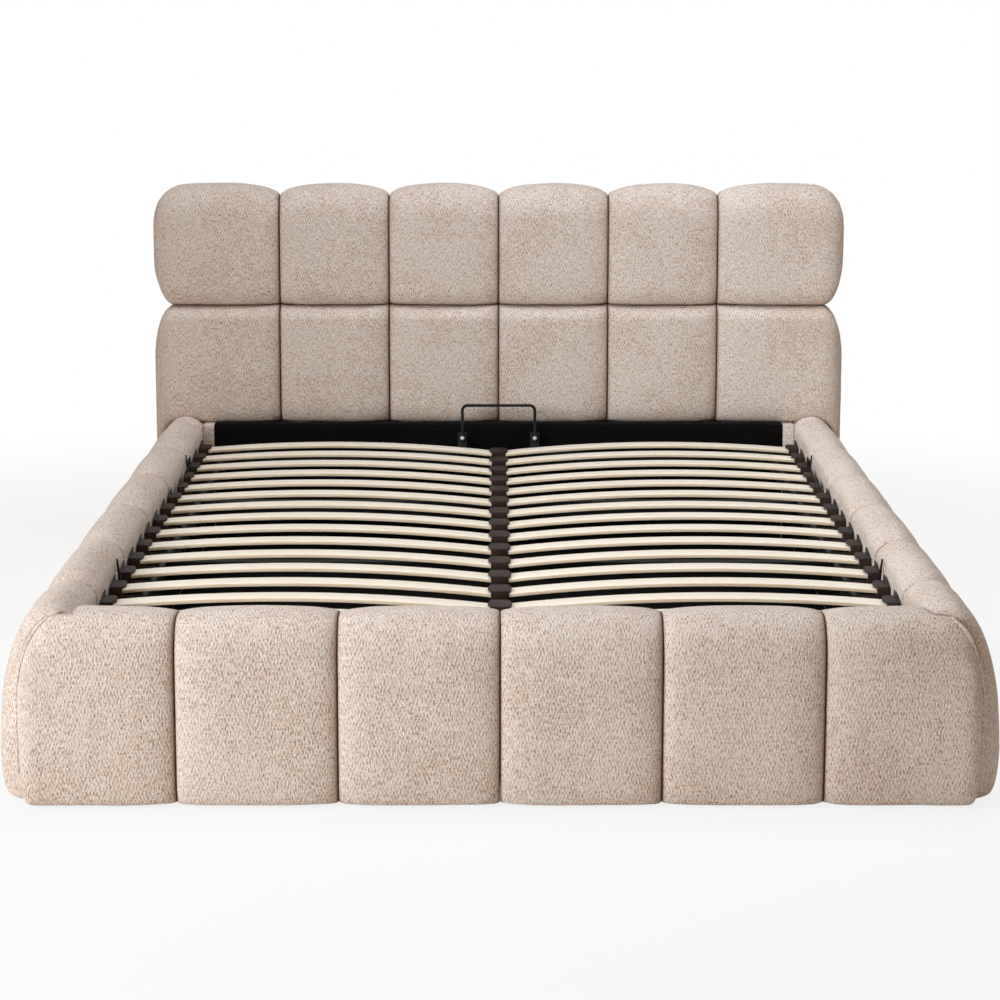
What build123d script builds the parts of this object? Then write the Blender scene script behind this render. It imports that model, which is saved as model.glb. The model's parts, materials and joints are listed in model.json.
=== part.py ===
from build123d import *
import math
import os

# Upholstered ottoman bed: tufted headboard, padded rails and footboard, and a
# slatted platform that lifts on two side hinges over a storage box.
# Millimetres. X runs across the bed, Y from the footboard to the headboard, Z up.
# The origin is on the floor, under the middle of the bed's outline. While the
# pieces are made, Y counts from the front of the footboard, and save moves them.

# Mattress, and the room left beside it
mattress_width = 1600.0
mattress_length = 2000.0
mattress_side_gap = 10.0

# Gaps between pieces
seat_gap = 0.3
seam_gap = 0.6
overrun = 5.0

# Floor glides
glide_height = 8.0
glide_radius = 20.0

# Padded side rails
rail_depth = 153.0
rail_height = 387.0
rail_crest_depth = 53.0
rail_back_drop = 36.0
rail_roll_drop = 284.0
rail_side_inset = 8.0
rail_top_dip = 11.0
rail_front_dip = 16.0
rail_panel_thickness = 27.0
rail_panel_height = 343.0
rail_first_seam = 332.0
rail_corner_drop = 40.0
rail_corner_draw = 46.0
rail_whole_pads = 5
rail_last_seam_gap = 20.3

# Pads each side of the middle seam, on the headboard and on the footboard
pad_columns_each_side = 3

# Padded footboard
footboard_depth = 170.0
footboard_half = 917.0
footboard_height = 376.0
footboard_crest_depth = 95.0
footboard_back_drop = 31.0
footboard_roll_drop = 78.0
footboard_side_inset = 10.0
footboard_top_dip = 9.0
footboard_front_dip = 17.0
footboard_seam_pitch = 308.0
footboard_corner_depth = 47.0
footboard_corner_drop = 118.0
footboard_corner_rise = 26.0
footboard_corner_draw = 30.0
footboard_panel_thickness = 27.0
footboard_panel_height = 333.0

# Tufted headboard: two rows of pads on one framed panel
headboard_depth = 126.0
headboard_half = 947.5
headboard_height = 1009.0
headboard_crest_depth = 40.0
headboard_back_drop = 24.0
headboard_top_dip = 29.0
headboard_front_dip = 40.0
headboard_seam_pitch = 300.0
headboard_row_seam = 683.0
headboard_pad_bottom = 362.0
headboard_roll_drop = 72.0
headboard_side_inset = 34.0
headboard_low_crest_depth = 62.0
headboard_low_back_drop = 2.0
headboard_low_roll_drop = 50.0
headboard_low_dip = 6.0
headboard_corner_drop = 84.0
headboard_corner_rise = 82.0
headboard_corner_draw = 62.0
headboard_panel_thickness = 20.0
headboard_panel_half = 900.0
headboard_panel_height = 955.0
headboard_stand_off = 2.0
back_cloth_thickness = 4.0
back_cloth_half = 884.0
back_cloth_height = 978.0

# Board that closes the storage box at the head end, and the posts beside it
end_board_half = 779.0
end_board_height = 365.5
end_board_thickness = 28.0
post_gap = 1.0
post_height = 361.0

# Storage floor
floor_thickness = 5.0
floor_joint_gap = 2.0
bearer_width = 45.0
bearer_height = 14.0
bearer_inset = 130.0

# Lifting platform of steel tube
platform_foot_gap = 12.0
platform_head_gap = 36.0
tube_width = 30.0
tube_height = 40.0
tube_wall = 2.0
centre_tube_width = 40.0
side_tube_outer = 765.0
cross_tube_count = 2
rest_width = 60.0
rest_leg = 50.0
rest_reach = 34.0
rest_thickness = 3.0
rest_span_share = 0.68

# Sprung slats and the plastic holders at their ends
slat_rows = 15
slat_width = 53.0
slat_thickness = 8.0
slat_rise = 20.0
slat_plane_height = 313.0
first_row_inset = 65.0
last_row_inset = 74.0
holder_height = 19.0
holder_wall = 3.0
holder_side_wall = 4.0
holder_tongue = 8.0
slat_end_gap = 2.0
slat_side_gap = 0.5
cap_outer = 797.0
cap_length = 23.0
cap_foot_inner = 745.0
cap_rise = 9.0
fin_height = 12.0
fin_thickness = 3.0
centre_holder_length = 50.0

# Bent wire that keeps the mattress from sliding to the headboard
wire_diameter = 8.0
wire_span = 197.0
wire_top = 427.0
wire_bend_radius = 14.0
wire_eye_radius = 9.0
wire_screw_height = 333.0
tab_width = 24.0
tab_thickness = 4.0
tab_margin = 14.0
screw_radius = 3.0
screw_head_radius = 5.5
screw_head_height = 4.0
screw_clearance = 0.2

# Pointed stops beside the mattress
stop_reach = 800.0
stop_prong_depth = 10.0
stop_prong_width = 14.0
stop_strap_width = 24.0
stop_strap_thickness = 3.0
stop_strap_overlap = 22.0
stop_height = 360.0
stop_tip_share = 0.3
stop_row_shares = (2.5, 11.5)

# Lift hinge: one pivot a side, and a gas strut that pushes the arm up
lift_angle = 40.0
pivot_height = 304.0
pivot_from_head = 304.0
arm_radius = 300.0
arm_slope = 8.0
strut_spread = 50.0
plate_thickness = 3.0
plate_edge_margin = 30.0
plate_corner_radius = 16.0
plate_foot_height = 32.0
plate_bolt_shares = ((-0.06, 0.24), (-0.06, 0.84), (0.42, 0.55), (0.62, 0.93))
bolt_radius = 4.0
bolt_head_radius = 6.5
bolt_head_height = 3.5
bolt_length = 22.0
bolt_clearance = 0.1
arm_thickness = 4.0
arm_width = 34.0
arm_plate_gap = 1.5
arm_face_gap = 0.2
arm_lug_thickness = 4.0
arm_lug_length = 30.0
arm_lug_shares = (0.3, 0.6)
pin_radius = 6.0
pin_head_radius = 10.0
pin_head_height = 4.0
pin_shoulder_radius = 9.0
running_gap = 0.05
stud_radius = 4.0
stud_nut_radius = 9.0
stud_nut_height = 4.0
stud_side_gap = 1.5

# Gas strut
strut_centre_reach = 782.0
strut_tube_radius = 11.0
strut_bore_radius = 9.5
strut_eye_width = 10.0
strut_eye_radius = 11.0
strut_neck = 16.0
strut_end_wall = 6.0
strut_guide_length = 10.0
strut_tube_end = 28.0
rod_radius = 5.0
rod_eye_radius = 13.0
rod_inner_stop = 20.0
piston_length = 12.0
rod_eye_clearance = 0.5

# Shapes of a pad along its length: how much of the dip each station has
pad_station_shares = (0.0, 0.12, 0.5, 0.88, 1.0)
pad_dip_shares = (1.0, 0.35, 0.0, 0.35, 1.0)
edge_station_shares = (0.0, 0.12, 0.45, 0.74, 0.9, 1.0)
edge_dip_shares = (1.0, 0.35, 0.0, 0.0, 0.0, 0.0)
edge_drop_shares = (0.0, 0.0, 0.0, 0.12, 0.4, 1.0)
edge_rise_shares = (0.0, 0.0, 0.0, 0.0, 0.2, 1.0)
edge_draw_shares = (0.0, 0.0, 0.0, 0.1, 0.42, 1.0)
roll_share = math.sqrt(0.5)
roll_turns = (22.5, 45.0, 67.5)
roll_points = [
    (math.sin(math.radians(turn)), math.cos(math.radians(turn))) for turn in roll_turns
]

# Places worked out from the sizes above, Y from the front of the footboard
recess_half = mattress_width / 2 + mattress_side_gap
outer_half = recess_half + rail_depth
platform_foot_y = footboard_depth + platform_foot_gap
retainer_y = footboard_depth + mattress_length
platform_head_y = retainer_y + wire_diameter / 2 + seat_gap + tab_thickness
end_board_y = platform_head_y + platform_head_gap
headboard_face_y = end_board_y + end_board_thickness + headboard_stand_off
headboard_rear_y = headboard_face_y + headboard_depth
headboard_panel_y = headboard_rear_y - headboard_panel_thickness
overall_length = headboard_rear_y + back_cloth_thickness
rail_pad_pitch = (end_board_y - rail_last_seam_gap - rail_first_seam) / rail_whole_pads
tube_top = slat_plane_height - holder_height
tube_bottom = tube_top - tube_height
side_tube_inner = side_tube_outer - tube_width
floor_bottom = glide_height + bearer_height
floor_top = floor_bottom + floor_thickness
slat_pitch = (platform_head_y - last_row_inset - platform_foot_y - first_row_inset) / (slat_rows - 1)
holder_width = slat_width + 2 * (slat_side_gap + holder_side_wall)

# Lift hinge places: the pivot, the strut's upper end and its lower end
pivot_y = platform_head_y - pivot_from_head
upper_y = pivot_y - arm_radius * math.cos(math.radians(arm_slope))
upper_z = pivot_height - arm_radius * math.sin(math.radians(arm_slope))
lower_y = pivot_y - arm_radius * math.cos(math.radians(arm_slope + strut_spread))
lower_z = pivot_height - arm_radius * math.sin(math.radians(arm_slope + strut_spread))
plate_inner = recess_half - plate_thickness
arm_outer = plate_inner - arm_plate_gap
arm_inner = arm_outer - arm_thickness
strut_tilt = math.degrees(math.atan2(lower_y - upper_y, upper_z - lower_z))
closed_length = 2 * arm_radius * math.sin(math.radians(strut_spread / 2))
open_length = 2 * arm_radius * math.sin(math.radians((strut_spread + lift_angle) / 2))
middle_length = 2 * arm_radius * math.sin(math.radians(strut_spread / 2 + lift_angle / 4))
stroke = open_length - closed_length
lag = (middle_length - (closed_length + open_length) / 2) / 2
rod_eye_bore = stud_radius + lag + rod_eye_clearance


def save(name, *pieces):
    """Write one node, moved so that the bed's outline is centred on the origin."""
    solids = [solid for piece in pieces for solid in piece.solids()]
    shape = solids[0] if len(solids) == 1 else Compound(solids)
    export_step(Pos(0, -overall_length / 2, 0) * shape, f"parts/{name}.step")


def block(x_low, x_high, y_low, y_high, z_low, z_high):
    """A box between two corners."""
    middle = Pos((x_low + x_high) / 2, (y_low + y_high) / 2, (z_low + z_high) / 2)
    return middle * Box(x_high - x_low, y_high - y_low, z_high - z_low)


def disc(x_low, x_high, y, z, radius):
    """A cylinder lying along X."""
    turned = Rot(0, math.degrees(math.pi / 2), 0) * Cylinder(radius, x_high - x_low)
    return Pos((x_low + x_high) / 2, y, z) * turned


def other_side(piece):
    """The same piece on the bed's left."""
    return mirror(piece, about=Plane.YZ)


class PadForm:
    """Section of a pad: flat back, rolled top edge, and a front that swells."""

    def __init__(self, depth, top, bottom, crest_depth, back_drop, roll_drop, side_inset):
        self.depth = depth
        self.top = top
        self.bottom = bottom
        self.crest_depth = crest_depth
        self.back_drop = back_drop
        self.roll_drop = roll_drop
        self.side_inset = side_inset

    def face(self, plane, top_drop, front_drop, bottom_rise):
        """The section on a plane, lowered, thinned and raised by the given sizes."""
        top = self.top - top_drop
        bottom = self.bottom + bottom_rise
        front = self.depth - front_drop
        back = top - self.back_drop
        shoulder = top - self.roll_drop
        side = front - self.side_inset
        crest = self.crest_depth
        back_roll = (crest * (1 - roll_share), back + self.back_drop * roll_share)
        front_roll = [
            (crest + (side - crest) * across, shoulder + self.roll_drop * up)
            for across, up in roll_points
        ]
        outline = [
            Line((0, bottom), (0, back)),
            ThreePointArc((0, back), back_roll, (crest, top)),
            ThreePointArc((crest, top), front_roll[0], front_roll[1]),
            ThreePointArc(front_roll[1], front_roll[2], (side, shoulder)),
            ThreePointArc((side, shoulder), (front, (shoulder + bottom) / 2), (side, bottom)),
            Line((side, bottom), (0, bottom)),
        ]
        return plane * make_face(outline)


def middle_pad(form, plane_at, start, end, top_dip, front_dip, bottom_dip=0):
    """A pad between two seams, drawn in at both."""
    faces = []
    for station, dip in zip(pad_station_shares, pad_dip_shares):
        place = start + (end - start) * station
        face = form.face(plane_at(place), top_dip * dip, front_dip * dip, bottom_dip * dip)
        faces.append(face)
    return loft(faces)


def edge_pad(form, plane_at, start, end, dips, corner):
    """A pad with a seam at its start and a rounded free end."""
    top_dip, front_dip = dips
    corner_drop, corner_draw, corner_rise = corner
    faces = []
    stations = zip(
        edge_station_shares,
        edge_dip_shares,
        edge_drop_shares,
        edge_draw_shares,
        edge_rise_shares,
    )
    for station, dip, drop, draw, rise in stations:
        place = start + (end - start) * station
        top_drop = top_dip * dip + corner_drop * drop
        front_drop = front_dip * dip + corner_draw * draw
        faces.append(form.face(plane_at(place), top_drop, front_drop, corner_rise * rise))
    return loft(faces)


# Headboard
def headboard_plane(x):
    return Plane(origin=(x, headboard_rear_y, 0), x_dir=(0, -1, 0), z_dir=(-1, 0, 0))


def headboard_low_plane(x):
    return Plane(origin=(x, headboard_rear_y, 0), x_dir=(0, -1, 0), z_dir=(1, 0, 0))


def headboard_panel_room():
    half = headboard_panel_half + seat_gap
    front = headboard_panel_y - seat_gap
    top = headboard_panel_height + seat_gap
    return block(-half, half, front, headboard_rear_y + overrun, 0, top)


def headboard_slab(z_low, z_high):
    """The whole headboard between two heights, to trim a row of pads by."""
    front = headboard_face_y - overrun
    return block(-outer_half, outer_half, front, headboard_rear_y + overrun, z_low, z_high)


def headboard_pads():
    """Two rows of pads: the upper row rolls over the panel's top edge."""
    upper = PadForm(
        headboard_depth,
        headboard_height,
        headboard_row_seam + seam_gap / 2,
        headboard_crest_depth,
        headboard_back_drop,
        headboard_roll_drop,
        headboard_side_inset,
    )
    lower = PadForm(
        headboard_depth,
        -headboard_pad_bottom,
        seam_gap / 2 - headboard_row_seam,
        headboard_low_crest_depth,
        headboard_low_back_drop,
        headboard_low_roll_drop,
        headboard_side_inset,
    )
    corner = (headboard_corner_drop, headboard_corner_draw, headboard_corner_rise)
    rows = (
        ("upper", upper, headboard_plane, headboard_top_dip),
        ("lower", lower, headboard_low_plane, headboard_low_dip),
    )
    room = headboard_panel_room()
    seam_low = headboard_row_seam - seam_gap / 2
    seam_high = headboard_row_seam + seam_gap / 2
    beyond = {
        "upper": headboard_slab(headboard_pad_bottom, seam_high),
        "lower": headboard_slab(seam_low, headboard_height),
    }
    for row, form, plane_at, top_dip in rows:
        for column in range(pad_columns_each_side):
            start = headboard_seam_pitch * column + seam_gap / 2
            if column < pad_columns_each_side - 1:
                end = headboard_seam_pitch * (column + 1) - seam_gap / 2
                pad = middle_pad(form, plane_at, start, end, top_dip, headboard_front_dip)
            else:
                dips = (top_dip, headboard_front_dip)
                pad = edge_pad(form, plane_at, start, headboard_half, dips, corner)
            pad = pad - room - beyond[row]
            right = pad_columns_each_side + column + 1
            left = pad_columns_each_side - column
            save(f"headboard_pad_{row}_{right}", pad)
            save(f"headboard_pad_{row}_{left}", other_side(pad))


def headboard_panel():
    """Board from the glides to under the top roll."""
    half = headboard_panel_half
    panel = block(
        -half, half, headboard_panel_y, headboard_rear_y, glide_height, headboard_panel_height
    )
    save("headboard_panel", panel)


def headboard_back_cloth():
    cloth = block(
        -back_cloth_half,
        back_cloth_half,
        headboard_rear_y,
        headboard_rear_y + back_cloth_thickness,
        glide_height,
        back_cloth_height,
    )
    save("headboard_back_cloth", cloth)


# Footboard
def footboard_plane(x):
    return Plane(origin=(x, footboard_depth, 0), x_dir=(0, -1, 0), z_dir=(-1, 0, 0))


def footboard_pads():
    """Six upright pads that roll over the footboard's top edge."""
    form = PadForm(
        footboard_depth,
        footboard_height,
        glide_height,
        footboard_crest_depth,
        footboard_back_drop,
        footboard_roll_drop,
        footboard_side_inset,
    )
    panel_room = block(
        -outer_half,
        outer_half,
        footboard_depth - footboard_panel_thickness - seat_gap,
        footboard_depth + overrun,
        0,
        footboard_panel_height + seat_gap,
    )
    corner_room = block(
        recess_half - seat_gap,
        outer_half,
        footboard_corner_depth,
        footboard_depth + overrun,
        0,
        footboard_height + overrun,
    )
    corner = (footboard_corner_drop, footboard_corner_draw, footboard_corner_rise)
    for column in range(pad_columns_each_side):
        start = footboard_seam_pitch * column + seam_gap / 2
        if column < pad_columns_each_side - 1:
            end = footboard_seam_pitch * (column + 1) - seam_gap / 2
            pad = middle_pad(
                form, footboard_plane, start, end, footboard_top_dip, footboard_front_dip
            )
        else:
            dips = (footboard_top_dip, footboard_front_dip)
            pad = edge_pad(form, footboard_plane, start, footboard_half, dips, corner)
            pad = pad - corner_room
        pad = pad - panel_room
        right = pad_columns_each_side + column + 1
        left = pad_columns_each_side - column
        save(f"footboard_pad_{right}", pad)
        save(f"footboard_pad_{left}", other_side(pad))


def footboard_panel():
    half = recess_half - seat_gap
    panel = block(
        -half,
        half,
        footboard_depth - footboard_panel_thickness,
        footboard_depth,
        glide_height,
        footboard_panel_height,
    )
    save("footboard_panel", panel)


# Side rails
def rail_plane(y):
    return Plane(origin=(recess_half, y, 0), x_dir=(1, 0, 0), z_dir=(0, -1, 0))


def rail_form():
    return PadForm(
        rail_depth,
        rail_height,
        glide_height,
        rail_crest_depth,
        rail_back_drop,
        rail_roll_drop,
        rail_side_inset,
    )


def rail_pads():
    """Five whole pads a side between a rounded front pad and a short rear one."""
    form = rail_form()
    rail_front = footboard_corner_depth + seat_gap
    rail_rear = headboard_panel_y - seat_gap
    panel_room = block(
        recess_half - overrun,
        recess_half + rail_panel_thickness + seat_gap,
        0,
        headboard_rear_y,
        0,
        rail_panel_height + seat_gap,
    )
    headboard_room = block(
        recess_half - overrun,
        outer_half + overrun,
        headboard_face_y - headboard_stand_off,
        headboard_rear_y,
        headboard_pad_bottom - headboard_stand_off,
        rail_height + overrun,
    )
    dips = (rail_top_dip, rail_front_dip)
    corner = (rail_corner_drop, rail_corner_draw, 0)
    first = edge_pad(
        form, rail_plane, rail_first_seam - seam_gap / 2, rail_front, dips, corner
    )
    pads = [[first - panel_room]]
    for number in range(rail_whole_pads):
        start = rail_first_seam + rail_pad_pitch * number + seam_gap / 2
        end = start + rail_pad_pitch - seam_gap
        pad = middle_pad(form, rail_plane, start, end, *dips)
        pads.append([pad - panel_room])
    last_seam = rail_first_seam + rail_pad_pitch * rail_whole_pads + seam_gap / 2
    rear = middle_pad(form, rail_plane, last_seam, rail_rear, *dips)
    pads[-1].append(rear - panel_room - headboard_room)
    for number, solids in enumerate(pads, start=1):
        save(f"side_pad_right_{number}", *solids)
        save(f"side_pad_left_{number}", *[other_side(solid) for solid in solids])


def plate_bolt_places():
    """Where the hinge plate is bolted to the rail, as Y and Z."""
    reach = pivot_y - lower_y
    drop = pivot_height - plate_foot_height
    return [(pivot_y - reach * x, pivot_height - drop * z) for x, z in plate_bolt_shares]


def rail_panels():
    panel = block(
        recess_half,
        recess_half + rail_panel_thickness,
        footboard_corner_depth + seat_gap,
        headboard_panel_y,
        glide_height,
        rail_panel_height,
    )
    for y, z in plate_bolt_places():
        hole_end = plate_inner + bolt_length + bolt_clearance
        panel = panel - disc(recess_half - overrun, hole_end, y, z, bolt_radius + bolt_clearance)
    save("side_rail_panel_right", panel)
    save("side_rail_panel_left", other_side(panel))


# Head end of the storage box
def head_end():
    board = block(
        -end_board_half,
        end_board_half,
        end_board_y,
        end_board_y + end_board_thickness,
        glide_height,
        end_board_height,
    )
    post = block(
        end_board_half + post_gap,
        recess_half - seat_gap,
        end_board_y,
        headboard_panel_y,
        glide_height,
        post_height,
    )
    save("head_end_board", board)
    save("head_corner_posts", post, other_side(post))


# Storage floor and glides
def bearer_places():
    """Y of the middle of each bearer under the storage floor."""
    first = footboard_depth + bearer_inset
    last = end_board_y - bearer_inset
    return [first, (first + last) / 2, last]


def storage_floor():
    half = recess_half - floor_joint_gap
    sheet = block(
        floor_joint_gap / 2,
        half,
        footboard_depth + seat_gap,
        end_board_y - seat_gap,
        floor_bottom,
        floor_top,
    )
    bearers = [
        block(
            -half,
            half,
            y - bearer_width / 2,
            y + bearer_width / 2,
            glide_height,
            floor_bottom,
        )
        for y in bearer_places()
    ]
    save("storage_floor", sheet, other_side(sheet))
    save("floor_bearers", *bearers)


def glide_feet():
    """Round glides under the rails, the panels and the bearers."""
    rail_x = recess_half + rail_depth / 2
    rail_ends = (footboard_corner_depth + 2 * glide_radius, end_board_y - 2 * glide_radius)
    rail_places = (rail_ends[0], sum(rail_ends) / 2, rail_ends[1])
    places = [(rail_x, y) for y in rail_places]
    places.append((footboard_seam_pitch, footboard_depth - footboard_panel_thickness / 2))
    places.append((2 * headboard_seam_pitch, headboard_rear_y - glide_radius))
    feet = []
    for x, y in places:
        foot = Pos(x, y, glide_height / 2) * Cylinder(glide_radius, glide_height)
        feet += [foot, other_side(foot)]
    for y in bearer_places():
        feet.append(Pos(0, y, glide_height / 2) * Cylinder(glide_radius, glide_height))
    save("glide_feet", *feet)


# Lifting platform
def tube(x_low, x_high, y_low, y_high, along):
    """A rectangular steel tube, open at its two ends."""
    outer = block(x_low, x_high, y_low, y_high, tube_bottom, tube_top)
    x_trim = -overrun if along == "x" else tube_wall
    y_trim = -overrun if along == "y" else tube_wall
    hollow = block(
        x_low + x_trim,
        x_high - x_trim,
        y_low + y_trim,
        y_high - y_trim,
        tube_bottom + tube_wall,
        tube_top - tube_wall,
    )
    return outer - hollow


def cross_tube_places():
    """Y of the middle of each inner cross tube."""
    span = platform_head_y - platform_foot_y
    count = cross_tube_count + 1
    return [platform_foot_y + span * number / count for number in range(1, count)]


def retainer_tab(x):
    """Upright tab on the head tube that the retainer wire is screwed to."""
    tab = block(
        x - tab_width / 2,
        x + tab_width / 2,
        platform_head_y - tab_thickness,
        platform_head_y,
        tube_top - tube_wall,
        wire_screw_height + tab_margin,
    )
    hole = Cylinder(screw_radius + screw_clearance, 2 * tab_thickness + overrun)
    lying = Rot(math.degrees(math.pi / 2), 0, 0) * hole
    return tab, Pos(x, platform_head_y - tab_thickness / 2, wire_screw_height) * lying


def platform_frame():
    """Welded frame: side tubes, head and foot tubes, centre tube and cross tubes."""
    side = tube(side_tube_inner, side_tube_outer, platform_foot_y, platform_head_y, "y")
    foot_end = platform_foot_y + tube_width
    head_start = platform_head_y - tube_width
    foot = tube(-side_tube_inner, side_tube_inner, platform_foot_y, foot_end, "x")
    head = tube(-side_tube_inner, side_tube_inner, head_start, platform_head_y, "x")
    for x in (-wire_span / 2, wire_span / 2):
        tab, hole = retainer_tab(x)
        head = head + tab - hole
    half = centre_tube_width / 2
    centre = tube(-half, half, foot_end, head_start, "y")
    crosses = []
    for y in cross_tube_places():
        cross = tube(half, side_tube_inner, y - tube_width / 2, y + tube_width / 2, "x")
        crosses += [cross, other_side(cross)]
    save("platform_side_tubes", side, other_side(side))
    save("platform_cross_tubes", foot, head, *crosses)
    save("platform_centre_tube", centre)


def platform_rests():
    """Angle brackets on the footboard panel that the foot tube comes down on."""
    middle = side_tube_inner * rest_span_share
    top = tube_bottom - seat_gap
    low_x = middle - rest_width / 2
    high_x = middle + rest_width / 2
    wall_y = footboard_depth + rest_thickness
    reach_y = footboard_depth + rest_reach
    upright_leg = block(low_x, high_x, footboard_depth, wall_y, top - rest_leg, top)
    flat_leg = block(low_x, high_x, footboard_depth, reach_y, top - rest_thickness, top)
    rest = upright_leg + flat_leg
    save("platform_rests", rest, other_side(rest))


def row_places():
    """Y of the middle of each slat row, from the foot."""
    return [platform_foot_y + first_row_inset + slat_pitch * row for row in range(slat_rows)]


def slats():
    """Bowed slats, each sprung between an outer cap and the centre holder."""
    inner_x = holder_side_wall + slat_end_gap
    outer_x = cap_outer - holder_side_wall - slat_end_gap
    base = tube_top + holder_wall
    outer_base = base + cap_rise
    middle = (inner_x + outer_x) / 2
    crown = (base + outer_base) / 2 + slat_rise
    outline = [
        ThreePointArc((inner_x, base), (middle, crown), (outer_x, outer_base)),
        Line((outer_x, outer_base), (outer_x, outer_base + slat_thickness)),
        ThreePointArc(
            (outer_x, outer_base + slat_thickness),
            (middle, crown + slat_thickness),
            (inner_x, base + slat_thickness),
        ),
        Line((inner_x, base + slat_thickness), (inner_x, base)),
    ]
    profile = Plane.XZ * make_face(outline)
    slat = extrude(profile, amount=slat_width / 2, both=True)
    right = [Pos(0, y, 0) * slat for y in row_places()]
    save("slats_right", *right)
    save("slats_left", *[other_side(one) for one in right])


def slat_cap():
    """Outer holder: rounded tongue over the slat, pocket below it, fin outside and a
    foot that is clipped to the side tube."""
    half = holder_width / 2
    top = slat_plane_height + cap_rise
    straight = cap_outer - cap_length + holder_tongue
    outline = [
        Line((straight, -half), (cap_outer, -half)),
        Line((cap_outer, -half), (cap_outer, half)),
        Line((cap_outer, half), (straight, half)),
        ThreePointArc((straight, half), (straight - holder_tongue, 0), (straight, -half)),
    ]
    body = Pos(0, 0, tube_top) * extrude(make_face(outline), amount=top - tube_top)
    foot = block(cap_foot_inner, straight, -half, half, tube_top, tube_top + cap_rise)
    pocket = block(
        straight - holder_tongue - overrun,
        cap_outer - holder_side_wall,
        -slat_width / 2 - slat_side_gap,
        slat_width / 2 + slat_side_gap,
        tube_top + cap_rise + holder_wall,
        top - holder_wall,
    )
    fin_outline = [
        Line((-half, 0), (half, 0)),
        Line((half, 0), (half, fin_height)),
        Line((half, fin_height), (-half, 0)),
    ]
    fin_plane = Plane(origin=(cap_outer, 0, top), x_dir=(0, 1, 0), z_dir=(1, 0, 0))
    fin = extrude(fin_plane * make_face(fin_outline), amount=-fin_thickness)
    return body + foot - pocket + fin


def centre_holder():
    """Double holder on the centre tube, with a pocket for a slat on each side."""
    half = holder_width / 2
    straight = centre_holder_length / 2 - holder_tongue
    tip = centre_holder_length / 2
    outline = [
        Line((-straight, -half), (straight, -half)),
        ThreePointArc((straight, -half), (tip, 0), (straight, half)),
        Line((straight, half), (-straight, half)),
        ThreePointArc((-straight, half), (-tip, 0), (-straight, -half)),
    ]
    body = Pos(0, 0, tube_top) * extrude(make_face(outline), amount=holder_height)
    pocket = block(
        holder_side_wall,
        tip + overrun,
        -slat_width / 2 - slat_side_gap,
        slat_width / 2 + slat_side_gap,
        tube_top + holder_wall,
        slat_plane_height - holder_wall,
    )
    return body - pocket - other_side(pocket)


def slat_holders():
    cap = slat_cap()
    holder = centre_holder()
    caps = []
    holders = []
    for y in row_places():
        place = Pos(0, y, 0)
        caps += [place * cap, other_side(place * cap)]
        holders.append(place * holder)
    save("slat_caps", *caps)
    save("centre_slat_holders", *holders)


def mattress_retainer():
    """Bent wire with a flattened, screwed eye at each foot."""
    half = wire_span / 2
    radius = wire_diameter / 2
    top = wire_top - radius
    route = FilletPolyline(
        (-half, retainer_y, wire_screw_height),
        (-half, retainer_y, top),
        (half, retainer_y, top),
        (half, retainer_y, wire_screw_height),
        radius=wire_bend_radius,
    )
    section = Plane(origin=route @ 0, z_dir=route % 0) * Circle(radius)
    wire = sweep(section, path=route)
    eye_length = wire_diameter + seat_gap
    across = Rot(math.degrees(math.pi / 2), 0, 0)
    screws = []
    for x in (-half, half):
        place = Pos(x, retainer_y + seat_gap / 2, wire_screw_height) * across
        wire = wire + place * Cylinder(wire_eye_radius, eye_length)
        hole = Cylinder(screw_radius + screw_clearance, eye_length + overrun)
        wire = wire - place * hole
        screws.append(retainer_screw(x))
    save("mattress_retainer", wire)
    save("retainer_screws", *screws)


def retainer_screw(x):
    """Pan-head screw through a wire eye and its tab, with a nut behind."""
    across = Rot(math.degrees(math.pi / 2), 0, 0)
    head_y = retainer_y - wire_diameter / 2 - screw_head_height / 2
    nut_y = platform_head_y + screw_head_height / 2
    shank_y = (head_y + nut_y) / 2
    head = Pos(x, head_y, wire_screw_height) * across * Cylinder(screw_head_radius, screw_head_height)
    nut = Pos(x, nut_y, wire_screw_height) * across * Cylinder(screw_head_radius, screw_head_height)
    shank = Pos(x, shank_y, wire_screw_height) * across * Cylinder(screw_radius, nut_y - head_y)
    return head + shank + nut


def mattress_stops():
    """Four pointed stops on straps that are welded to the side tubes."""
    stops = []
    outer = stop_reach
    inner = stop_reach - stop_prong_depth
    half = stop_prong_width / 2
    strap_top = tube_top + stop_strap_thickness
    rows = row_places()
    for share in stop_row_shares:
        y = rows[0] + slat_pitch * share
        strap = block(
            side_tube_outer - stop_strap_overlap,
            outer,
            y - stop_strap_width / 2,
            y + stop_strap_width / 2,
            tube_top,
            strap_top,
        )
        corners = ((inner, y - half), (outer, y - half), (outer, y + half))
        tip_x = outer - stop_prong_depth * stop_tip_share
        tip_half = half * stop_tip_share
        tips = ((tip_x, y - tip_half), (outer, y - tip_half), (outer, y + tip_half))
        base_face = Pos(0, 0, strap_top) * make_face(Polyline(*corners, close=True))
        tip_face = Pos(0, 0, stop_height) * make_face(Polyline(*tips, close=True))
        stop = strap + loft([base_face, tip_face])
        stops += [stop, other_side(stop)]
    save("mattress_side_stops", *stops)


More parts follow.
